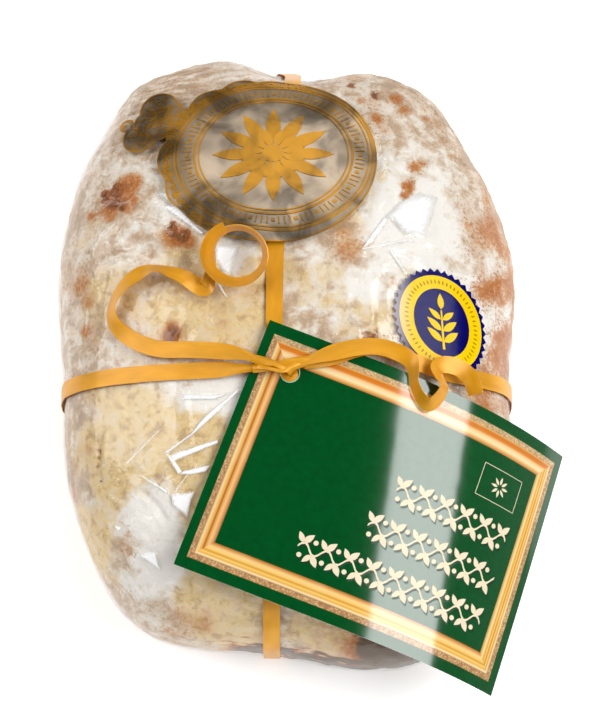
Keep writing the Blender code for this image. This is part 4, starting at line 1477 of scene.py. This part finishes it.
def leaf_outline(x, y, length, width, turn):
    """A pointed leaf that grows from (x, y)."""
    points = []
    half = 5
    for index in range(2 * half):
        along = index / half if index <= half else 2 - index / half
        side = 1 if index <= half else -1
        swollen = side * width / 2 * math.sin(math.pi * along) ** 0.8 * (1.15 - 0.5 * along)
        points.append((along * length, swollen))
    cos, sin = math.cos(turn), math.sin(turn)
    return [(x + a * cos - b * sin, y + a * sin + b * cos) for a, b in points]


def ring_outline(x, y, half_width, half_height, count):
    """An oval of this many corners round (x, y)."""
    return [
        (x + half_width * math.cos(math.tau * i / count), y + half_height * math.sin(math.tau * i / count))
        for i in range(count)
    ]


def vine_outlines(start, end, y):
    """A wavy stem along a row, with leaves by turns above and below and a berry after each."""
    wave, height, stem = 0.0092, 0.0020, 0.00052
    outlines = []
    count = round((end - start) / 0.0012)
    ups, downs = [], []
    for index in range(count + 1):
        x = start + (end - start) * index / count
        middle = y + height * math.sin(math.tau * (x - start) / wave)
        ups.append((x, middle + stem))
        downs.append((x, middle - stem))
    for index in range(count):
        outlines.append([ups[index], downs[index], downs[index + 1], ups[index + 1]])
    leaves = round(2 * (end - start) / wave)
    for index in range(leaves):
        x = start + wave * (index + 0.35) / 2
        side = 1 if index % 2 == 0 else -1
        stem_y = y + height * math.sin(math.tau * (x - start) / wave)
        outlines.append(leaf_outline(x, stem_y, 0.0052, 0.0028, side * math.radians(52)))
        outlines.append(leaf_outline(x, stem_y, 0.0046, 0.0024, side * math.radians(128)))
        outlines.append(ring_outline(x, y - side * 0.0032, 0.0010, 0.0010, 12))
    return outlines


def add_hole_rim():
    """The pale pressed edge of the card's hole."""
    bm = bmesh.new()
    bmesh.ops.create_circle(bm, segments=10, radius=0.00020)
    place = Matrix.Translation((HOLE_RADIUS + 0.00022, 0, 0)) @ Matrix.Rotation(math.pi / 2, 4, "X")
    bmesh.ops.transform(bm, matrix=place, verts=bm.verts)
    bmesh.ops.spin(
        bm, geom=bm.verts[:] + bm.edges[:], cent=(0, 0, 0), axis=(0, 0, 1), angle=math.tau,
        steps=48, use_merge=True,
    )
    middle = Vector((HOLE_PLACE[0], -HOLE_PLACE[1], CARD_THICKNESS / 2))
    bmesh.ops.translate(bm, vec=middle, verts=bm.verts)
    bmesh.ops.recalc_face_normals(bm, faces=bm.faces)
    bend_card(bm)
    add_piece("hole_rim", bm, [paper_finish("pressed paper", paint(176, 206, 188), 0.5)])


# Where print lies in a flat piece's thickness: its underside, and its top face.
CARD_INK = (-0.00002, 0.00008)
CARD_SHADE = (-0.00002, 0.00003)
CARD_LINE = (-0.00002, 0.00012)
CARD_ROSETTE = (-0.00002, 0.00006)
SEAL_GOLD = (0.0001, 0.00055)
STICKER_PRINT = (0.0001, 0.00034)
STICKER_MARKS = (0.0001, 0.00044)

# Rows of vine on the card: from where to where along it, and how far down.
VINE_ROWS = ((0.0690, 0.1195, 0.0440), (0.0635, 0.1200, 0.0608), (0.0415, 0.1200, 0.0778))


def on_card(heights):
    """Heights over the card's face, as heights over its middle."""
    return [CARD_THICKNESS / 2 + height for height in heights]


def make_vines(settings):
    """Cream vines in three rows, and a small framed rosette over them."""
    ink = bmesh.new()
    shade = bmesh.new()
    for start, end, down in VINE_ROWS:
        for outline in vine_outlines(start, end, -down):
            add_plaque(ink, outline, *on_card(CARD_INK))
            lower = [(x + 0.0006, y - 0.0007) for x, y in outline]
            add_plaque(shade, lower, *on_card(CARD_SHADE))
    left, right, high, low = 0.0992, 0.1188, -0.0192, -0.0325
    line = 0.00022
    steps = 8  # short lengths, so that each line bends with the card
    for x0, y0, x1, y1 in (
        (left, high, right, high - line), (left, low + line, right, low),
        (left, high, left + line, low), (right - line, high, right, low),
    ):
        for step in range(steps):
            near = Vector((x0, y0)).lerp(Vector((x1, y0)), step / steps)
            next_one = Vector((x0, y0)).lerp(Vector((x1, y0)), (step + 1) / steps)
            corners = [near, (near.x, y1), (next_one.x, y1), next_one]
            add_plaque(ink, corners, *on_card(CARD_LINE))
    middle_x, middle_y = (left + right) / 2, (high + low) / 2
    for index in range(8):
        turn = math.tau * index / 8
        outline = leaf_outline(
            middle_x + 0.0010 * math.cos(turn), middle_y + 0.0010 * math.sin(turn), 0.0032, 0.0012, turn
        )
        add_plaque(ink, outline, *on_card(CARD_ROSETTE))
    for bm in (ink, shade):
        bmesh.ops.recalc_face_normals(bm, faces=bm.faces)
        bend_card(bm)
    cream = paper_finish("cream ink", tuple(settings.ink_colour), 0.4)
    shadow = paper_finish("shadow ink", darker(tuple(settings.colour), 0.45), 0.3)
    add_piece("card_vines", ink, [cream])
    add_piece("card_vine_shadows", shade, [shadow])
    add_hole_rim()


# ---- Seal and sticker ----


def facing_matrix(centre, facing):
    """A place whose Z points along the facing direction, and whose X stays level."""
    z = facing.normalized()
    y = z.cross(Vector((1, 0, 0))).normalized()
    x = y.cross(z)
    return Matrix.Translation(centre) @ Matrix((x, y, z)).transposed().to_4x4()


def drape(bm, surface, place, lift_at):
    """Lays flat shapes on the surface; a vertex's own Z counts from there."""
    down = -(place.to_3x3() @ Vector((0, 0, 1)))
    for vertex in bm.verts:
        flat = vertex.co.copy()
        start = place @ Vector((flat.x, flat.y, 0.08))
        hit, _, _, _ = surface.ray_cast(start, down)
        vertex.co = hit - down * (flat.z + lift_at(flat.x, flat.y))


def smooth_rest():
    """The smooth outer shape of the wrapped loaf, without the film's ripples."""
    bm = loaf_shell(44, swell, 0.0)
    rest = BVHTree.FromBMesh(bm)
    bm.free()
    return rest


def add_disc(bm, outline, bottom, top, rings):
    """A flat plate in rings from its outline to its middle, closed below."""
    centre = Vector((sum(p[0] for p in outline), sum(p[1] for p in outline), 0)) / len(outline)
    loops = []
    for ring in range(rings):
        share = 1 - ring / rings
        loops.append([bm.verts.new((*(centre.xy.lerp(Vector(p), share)), top)) for p in outline])
    count = len(outline)
    for outer, inner in zip(loops, loops[1:]):
        for i in range(count):
            j = (i + 1) % count
            bm.faces.new((outer[i], outer[j], inner[j], inner[i]))
    tip = bm.verts.new((centre.x, centre.y, top))
    for i in range(count):
        bm.faces.new((loops[-1][i], loops[-1][(i + 1) % count], tip))
    rim = [edge for edge in bm.edges if edge.verts[0] in loops[0] and edge.verts[1] in loops[0]]
    grown = bmesh.ops.extrude_edge_only(bm, edges=rim)["geom"]
    foot = [item for item in grown if isinstance(item, bmesh.types.BMVert)]
    bmesh.ops.translate(bm, vec=(0, 0, bottom - top), verts=foot)


def add_band(bm, outer, inner, bottom, top, loops=1):
    """A raised flat band between two outlines with the same count of points."""
    count = len(outer)
    corners = [[bm.verts.new((x, y, bottom)) for x, y in outer]]
    for loop in range(loops + 1):
        share = loop / loops
        between = [Vector(a).lerp(Vector(b), share) for a, b in zip(outer, inner)]
        corners.append([bm.verts.new((x, y, top)) for x, y in between])
    corners.append([bm.verts.new((x, y, bottom)) for x, y in inner])
    for a, b in zip(corners, corners[1:] + corners[:1]):
        for i in range(count):
            j = (i + 1) % count
            bm.faces.new((a[i], a[j], b[j], b[i]))


def scaled(outline, share):
    return [(x * share, y * share) for x, y in outline]


SEAL_RING_CENTRE = (0.0021, 0.0009)
# Gold rings: half width, half length, and how wide the line is.
SEAL_RINGS = ((0.0398, 0.0342, 1.0), (0.0381, 0.0327, 0.7), (0.0318, 0.0270, 1.1), (0.0299, 0.0253, 0.7))
SEAL_ROUNDNESS = 0.87  # height of the rosette as a share of its width
# Round lobes of the finial: centre and radius.
FINIAL_LOBES = (
    (-0.0440, 0.0255, 0.0078),
    (-0.0512, 0.0128, 0.0072),
    (-0.0455, 0.0182, 0.0088),
    (-0.0400, 0.0205, 0.0074),
    (-0.0572, 0.0205, 0.0030),
)


def seal_outline():
    """An oval with cloud lobes on its left and far sides."""
    half_width, half_length = SEAL_HALF_SIZE
    outline = []
    count = 240
    for index in range(count):
        angle = math.tau * index / count
        radius = 1 / math.hypot(math.cos(angle) / half_width, math.sin(angle) / half_length)
        lobed = ease((angle - math.radians(75)) / 0.5) * ease((math.radians(225) - angle) / 0.5)
        radius += 0.0022 * lobed * (abs(math.sin(angle * 7.5)) - 0.55)
        outline.append((radius * math.cos(angle), radius * math.sin(angle)))
    return outline


def metal_finish(name, colour, roughness, metallic, dent):
    """Printed foil: a metal ground with faint dents, and darker and lighter patches painted into its colour
    as reflections.
    """
    finish = Finish(name, roughness=roughness, Metallic=metallic)
    reflection_cloud = finish.cloud(0.016, 3.0, twist=0.5)
    # Painted reflection: the colour is darker and lighter in patches, as if the foil mirrored dark and bright
    # parts of the room.
    painted_reflection = finish.ramp(reflection_cloud, (0.40, darker(colour, 0.50)), (0.50, colour), (0.60, darker(colour, 1.35)))
    finish.shade(Base_Color=painted_reflection)
    finish.shade(Roughness=finish.maths("MULTIPLY_ADD", reflection_cloud, 0.25, roughness - 0.12))
    finish.shade(Normal=finish.bump(finish.cloud(0.022, 1.0), dent))
    return finish.material


def seal_lift(x, y):
    """The seal lies over the ribbon, and its near left edge curls up."""
    curl = ease((-y - 0.020) / 0.016) * ease((0.018 - abs(x + 0.006)) / 0.016)
    dent = noise.noise(Vector((x, y, 0.3)) / 0.018)
    return 0.0020 + 0.0016 * curl + 0.0005 * dent


def make_seal(settings):
    surface = smooth_rest()
    place = facing_matrix(SEAL_CENTRE, SEAL_FACING)
    outline = seal_outline()
    foil = bmesh.new()
    add_disc(foil, outline, 0.0, 0.00025, rings=20)
    for index, (x, y, radius) in enumerate(FINIAL_LOBES):
        add_disc(foil, ring_outline(x, y, radius, radius, 40), 0.0, 0.00027 + 0.00002 * index, rings=4)
    gold = bmesh.new()
    line = settings.line
    add_band(gold, outline, scaled(outline, 0.984), *SEAL_GOLD)
    for half_width, half_length, weight in SEAL_RINGS:
        outer = ring_outline(*SEAL_RING_CENTRE, half_width, half_length, 180)
        inner = ring_outline(
            *SEAL_RING_CENTRE, half_width - line * weight, half_length - line * weight, 180
        )
        add_band(gold, outer, inner, *SEAL_GOLD)
    add_finial_rims(gold, 0.8 * line)
    add_ticks(gold)
    add_filigree(gold)
    add_rosette(gold, settings.petals)
    foil_metal = metal_finish("pewter foil", tuple(settings.foil_colour), 0.30, 0.75, 0.0012)
    gold_metal = metal_finish("gold foil", tuple(settings.gold_colour), 0.34, 0.6, 0.0008)
    for bm, name, finish in ((foil, "foil_seal", foil_metal), (gold, "seal_gold", gold_metal)):
        bmesh.ops.recalc_face_normals(bm, faces=bm.faces)
        drape(bm, surface, place, seal_lift)
        replaced = ["seal_oval"] if name == "foil_seal" else []
        add_piece(name, bm, [finish], replaced)


def add_finial_rims(bm, line):
    """Gold rims round the cloud lobes, left out where the lobes run into each other."""
    half_width, half_length = SEAL_HALF_SIZE
    for x, y, radius in FINIAL_LOBES:
        outer = ring_outline(x, y, radius, radius, 48)
        inner = ring_outline(x, y, radius - line, radius - line, 48)
        for index in range(48):
            ahead = (index + 1) % 48
            place = Vector(outer[index])
            others = [lobe for lobe in FINIAL_LOBES if lobe[:2] != (x, y)]
            inside = any((place - Vector(lobe[:2])).length < lobe[2] for lobe in others)
            if not inside and math.hypot(place.x / half_width, place.y / half_length) > 0.97:
                add_plaque(bm, [outer[index], outer[ahead], inner[ahead], inner[index]], *SEAL_GOLD)


def add_ticks(bm):
    """Radial ticks round the band between the rings."""
    centre_x, centre_y = SEAL_RING_CENTRE
    count = 96
    ratio = 0.855  # length of the rings as a share of their width
    for index in range(count):
        turn = math.tau * index / count
        long_tick = index % 4
        inner, outer = (0.0325, 0.0362) if long_tick else (0.0334, 0.0350)
        half = 0.00028 if long_tick else 0.0007
        corners = []
        for radius, side in ((inner, -half), (outer, -half), (outer, half), (inner, half)):
            angle = turn + side / radius
            corners.append(
                (centre_x + radius * math.cos(angle), centre_y + radius * ratio * math.sin(angle))
            )
        add_plaque(bm, corners, *SEAL_GOLD)


def add_filigree(bm):
    """Small gold beads and curls over the outer band, denser on its left and far sides."""
    random.seed(11)
    half_width, half_length = SEAL_HALF_SIZE
    for _ in range(900):
        angle = random.uniform(math.radians(60), math.radians(240))
        share = random.uniform(0.900, 0.972)
        radius = share / math.hypot(math.cos(angle) / half_width, math.sin(angle) / half_length)
        size = random.uniform(0.00028, 0.00060)
        dot = ring_outline(radius * math.cos(angle), radius * math.sin(angle), size, size * 0.8, 7)
        add_plaque(bm, dot, *SEAL_GOLD)
    for x, y, radius in FINIAL_LOBES:
        for _ in range(round(1.9e6 * radius * radius)):
            turn = random.uniform(0, math.tau)
            reach = radius * 0.86 * math.sqrt(random.random())
            size = random.uniform(0.00028, 0.00065)
            dot = ring_outline(x + reach * math.cos(turn), y + reach * math.sin(turn), size, size * 0.7, 7)
            add_plaque(bm, dot, *SEAL_GOLD)


def add_rosette(bm, petals):
    """Two rows of petals round a heart."""
    centre_x, centre_y = SEAL_RING_CENTRE
    bottom, top = SEAL_GOLD
    for row, (reach, width, start) in enumerate(((0.0170, 0.0066, 0.0070), (0.0095, 0.0040, 0.0035))):
        for index in range(petals):
            turn = math.tau * (index + 0.5 * row) / petals
            outline = leaf_outline(start * math.cos(turn), start * math.sin(turn), reach, width, turn)
            outline = [(centre_x + x, centre_y + y * SEAL_ROUNDNESS) for x, y in outline]
            add_plaque(bm, outline, bottom, top + 0.00004 * row)
    heart = ring_outline(centre_x, centre_y, 0.0044, 0.0044 * SEAL_ROUNDNESS, 40)
    add_plaque(bm, heart, bottom, top + 0.00010)


STICKER_SLANT = 0.085


def slanted(outline):
    """The outline drawn out along one diagonal."""
    return [(x - STICKER_SLANT * y, y - STICKER_SLANT * x) for x, y in outline]


def sticker_outline(teeth):
    """An oval with a toothed edge."""
    outline = []
    for index in range(2 * teeth):
        angle = math.pi * index / teeth
        share = 1 - 0.070 * (index % 2)
        outline.append(
            (STICKER_HALF_SIZE[0] * share * math.cos(angle), STICKER_HALF_SIZE[1] * share * math.sin(angle))
        )
    return outline


def sticker_lift(x, y):
    """The sticker's left edge stands off a little."""
    return 0.0008 + 0.05 * max(-x, 0.0)


def sprig_outlines():
    """An upright sprig: a stem with leaves in pairs, and one leaf at its tip."""
    foot, tip = -0.0106, 0.0050
    outlines = [[(-0.0005, foot), (0.0005, foot), (0.0003, tip), (-0.0003, tip)]]
    for y, length in ((-0.0076, 0.0078), (-0.0032, 0.0074), (0.0012, 0.0062)):
        for side in (-1, 1):
            turn = math.pi / 2 - side * math.radians(52)
            outlines.append(leaf_outline(side * 0.0004, y, length, 0.42 * length, turn))
    outlines.append(leaf_outline(0.0, tip + 0.0003, 0.0064, 0.0030, math.pi / 2))
    return outlines


def gloss_finish(name, colour):
    """Printed glossy label, paler towards its left under a painted reflection."""
    finish = Finish(name, roughness=0.2, Specular_IOR_Level=0.14)
    tone = finish.cloud(0.004, 3.0)
    ink = finish.ramp(tone, (0.3, darker(colour, 0.93)), (0.7, colour))
    across = finish.add("ShaderNodeSeparateXYZ", {0: finish.place}).outputs[0]
    # Painted reflection: a pale veil over the print towards the left.
    painted_reflection = finish.maths("MULTIPLY", finish.rise(across, 0.0480, 0.0400), 0.42)
    finish.shade(Base_Color=finish.mix(painted_reflection, ink, (0.85, 0.80, 0.85)))
    finish.shade(Normal=finish.bump(finish.cloud(0.012, 2.0), 0.0004))
    return finish.material


def make_sticker(settings):
    surface = smooth_rest()
    place = facing_matrix(STICKER_CENTRE, STICKER_FACING)
    half_width, half_length = STICKER_HALF_SIZE
    blue = bmesh.new()
    add_disc(blue, slanted(sticker_outline(settings.teeth)), 0.0, 0.00015, rings=14)
    yellow = bmesh.new()
    outer = slanted(ring_outline(0, 0, half_width * 0.880, half_length * 0.862, 120))
    inner = slanted(ring_outline(0, 0, half_width * 0.590, half_length * 0.620, 120))
    add_band(yellow, outer, inner, *STICKER_PRINT, loops=5)
    for outline in sprig_outlines():
        add_plaque(yellow, slanted(outline), *STICKER_PRINT)
    marks = bmesh.new()
    for index in range(56):
        turn = math.tau * index / 56
        middle = (half_width * 0.69 * math.cos(turn), half_length * 0.70 * math.sin(turn))
        add_plaque(marks, slanted(leaf_outline(*middle, 0.0020, 0.0008, turn)), *STICKER_MARKS)
    ground = tuple(settings.blue_colour)
    ink = tuple(settings.yellow_colour)
    layers = (
        (blue, "round_sticker", gloss_finish("sticker blue", ground), ["sticker_round"]),
        (yellow, "sticker_yellow", gloss_finish("sticker yellow", ink), []),
        (marks, "sticker_marks", gloss_finish("sticker marks", darker(ink, 0.45)), []),
    )
    for bm, name, finish, replaced in layers:
        bmesh.ops.recalc_face_normals(bm, faces=bm.faces)
        drape(bm, surface, place, sticker_lift)
        add_piece(name, bm, [finish], replaced)


# ---- Operators ----


class STOLLEN_OT_stage(bpy.types.Operator):
    """Set up the camera, the lights and the table top"""

    bl_idname = "stollen.stage"
    bl_label = "Stage"

    def execute(self, context):
        make_stage(context.scene.stollen_stage)
        return {"FINISHED"}


class STOLLEN_OT_tails(bpy.types.Operator):
    """Make the two free tails of the ribbon"""

    bl_idname = "stollen.tails"
    bl_label = "Ribbon Tails"

    def execute(self, context):
        make_tails()
        return {"FINISHED"}


class STOLLEN_OT_loaf(bpy.types.Operator):
    """Make the sugared loaf"""

    bl_idname = "stollen.loaf"
    bl_label = "Loaf"

    def execute(self, context):
        make_loaf(context.scene.stollen_loaf)
        return {"FINISHED"}


class STOLLEN_OT_film(bpy.types.Operator):
    """Make the clear film and its creases"""

    bl_idname = "stollen.film"
    bl_label = "Film"

    def execute(self, context):
        make_film(context.scene.stollen_film)
        return {"FINISHED"}


class STOLLEN_OT_fruit(bpy.types.Operator):
    """Make the raisins that show in the crust"""

    bl_idname = "stollen.fruit"
    bl_label = "Raisins"

    def execute(self, context):
        make_fruit(context.scene.stollen_loaf)
        return {"FINISHED"}


class STOLLEN_OT_card(bpy.types.Operator):
    """Make the hanging card"""

    bl_idname = "stollen.card"
    bl_label = "Card"

    def execute(self, context):
        make_card(context.scene.stollen_card)
        return {"FINISHED"}


class STOLLEN_OT_bands(bpy.types.Operator):
    """Make the two crossed ribbons"""

    bl_idname = "stollen.bands"
    bl_label = "Crossed Ribbons"

    def execute(self, context):
        make_bands(context.scene.stollen_ribbon)
        return {"FINISHED"}


class STOLLEN_OT_knot(bpy.types.Operator):
    """Make the strands of the knot"""

    bl_idname = "stollen.knot"
    bl_label = "Knot"

    def execute(self, context):
        make_knot(context.scene.stollen_ribbon)
        return {"FINISHED"}


class STOLLEN_OT_seal(bpy.types.Operator):
    """Make the foil seal"""

    bl_idname = "stollen.seal"
    bl_label = "Foil Seal"

    def execute(self, context):
        make_seal(context.scene.stollen_seal)
        return {"FINISHED"}


class STOLLEN_OT_sticker(bpy.types.Operator):
    """Make the round sticker"""

    bl_idname = "stollen.sticker"
    bl_label = "Sticker"

    def execute(self, context):
        make_sticker(context.scene.stollen_sticker)
        return {"FINISHED"}


SETTINGS = {
    "stollen_stage": StageSettings,
    "stollen_loaf": LoafSettings,
    "stollen_film": FilmSettings,
    "stollen_ribbon": RibbonSettings,
    "stollen_card": CardSettings,
    "stollen_seal": SealSettings,
    "stollen_sticker": StickerSettings,
}
OPERATORS = (
    STOLLEN_OT_stage,
    STOLLEN_OT_tails,
    STOLLEN_OT_film,
    STOLLEN_OT_loaf,
    STOLLEN_OT_fruit,
    STOLLEN_OT_card,
    STOLLEN_OT_bands,
    STOLLEN_OT_knot,
    STOLLEN_OT_seal,
    STOLLEN_OT_sticker,
)


class VIEW3D_PT_stollen(bpy.types.Panel):
    """Lists the pieces and their settings"""

    bl_label = "Gift-Wrapped Stollen"
    bl_space_type = "VIEW_3D"
    bl_region_type = "UI"
    bl_category = "Stollen"

    def draw(self, context):
        layout = self.layout
        for operator in OPERATORS:
            layout.operator(operator.bl_idname)
        for name, group in SETTINGS.items():
            box = layout.box()
            box.label(text=group.__doc__)
            for field in group.__annotations__:
                box.prop(getattr(context.scene, name), field)


CLASSES = (*SETTINGS.values(), *OPERATORS, VIEW3D_PT_stollen)


def register():
    for item in CLASSES:
        bpy.utils.register_class(item)
    for name, group in SETTINGS.items():
        setattr(bpy.types.Scene, name, PointerProperty(type=group))


def unregister():
    for name in SETTINGS:
        delattr(bpy.types.Scene, name)
    for item in reversed(CLASSES):
        bpy.utils.unregister_class(item)


def main():
    register()
    bpy.ops.stollen.stage()
    bpy.ops.stollen.tails()
    bpy.ops.stollen.film()
    bpy.ops.stollen.loaf()
    bpy.ops.stollen.fruit()
    bpy.ops.stollen.card()
    bpy.ops.stollen.bands()
    bpy.ops.stollen.knot()
    bpy.ops.stollen.seal()
    bpy.ops.stollen.sticker()


if __name__ == "__main__":
    main()
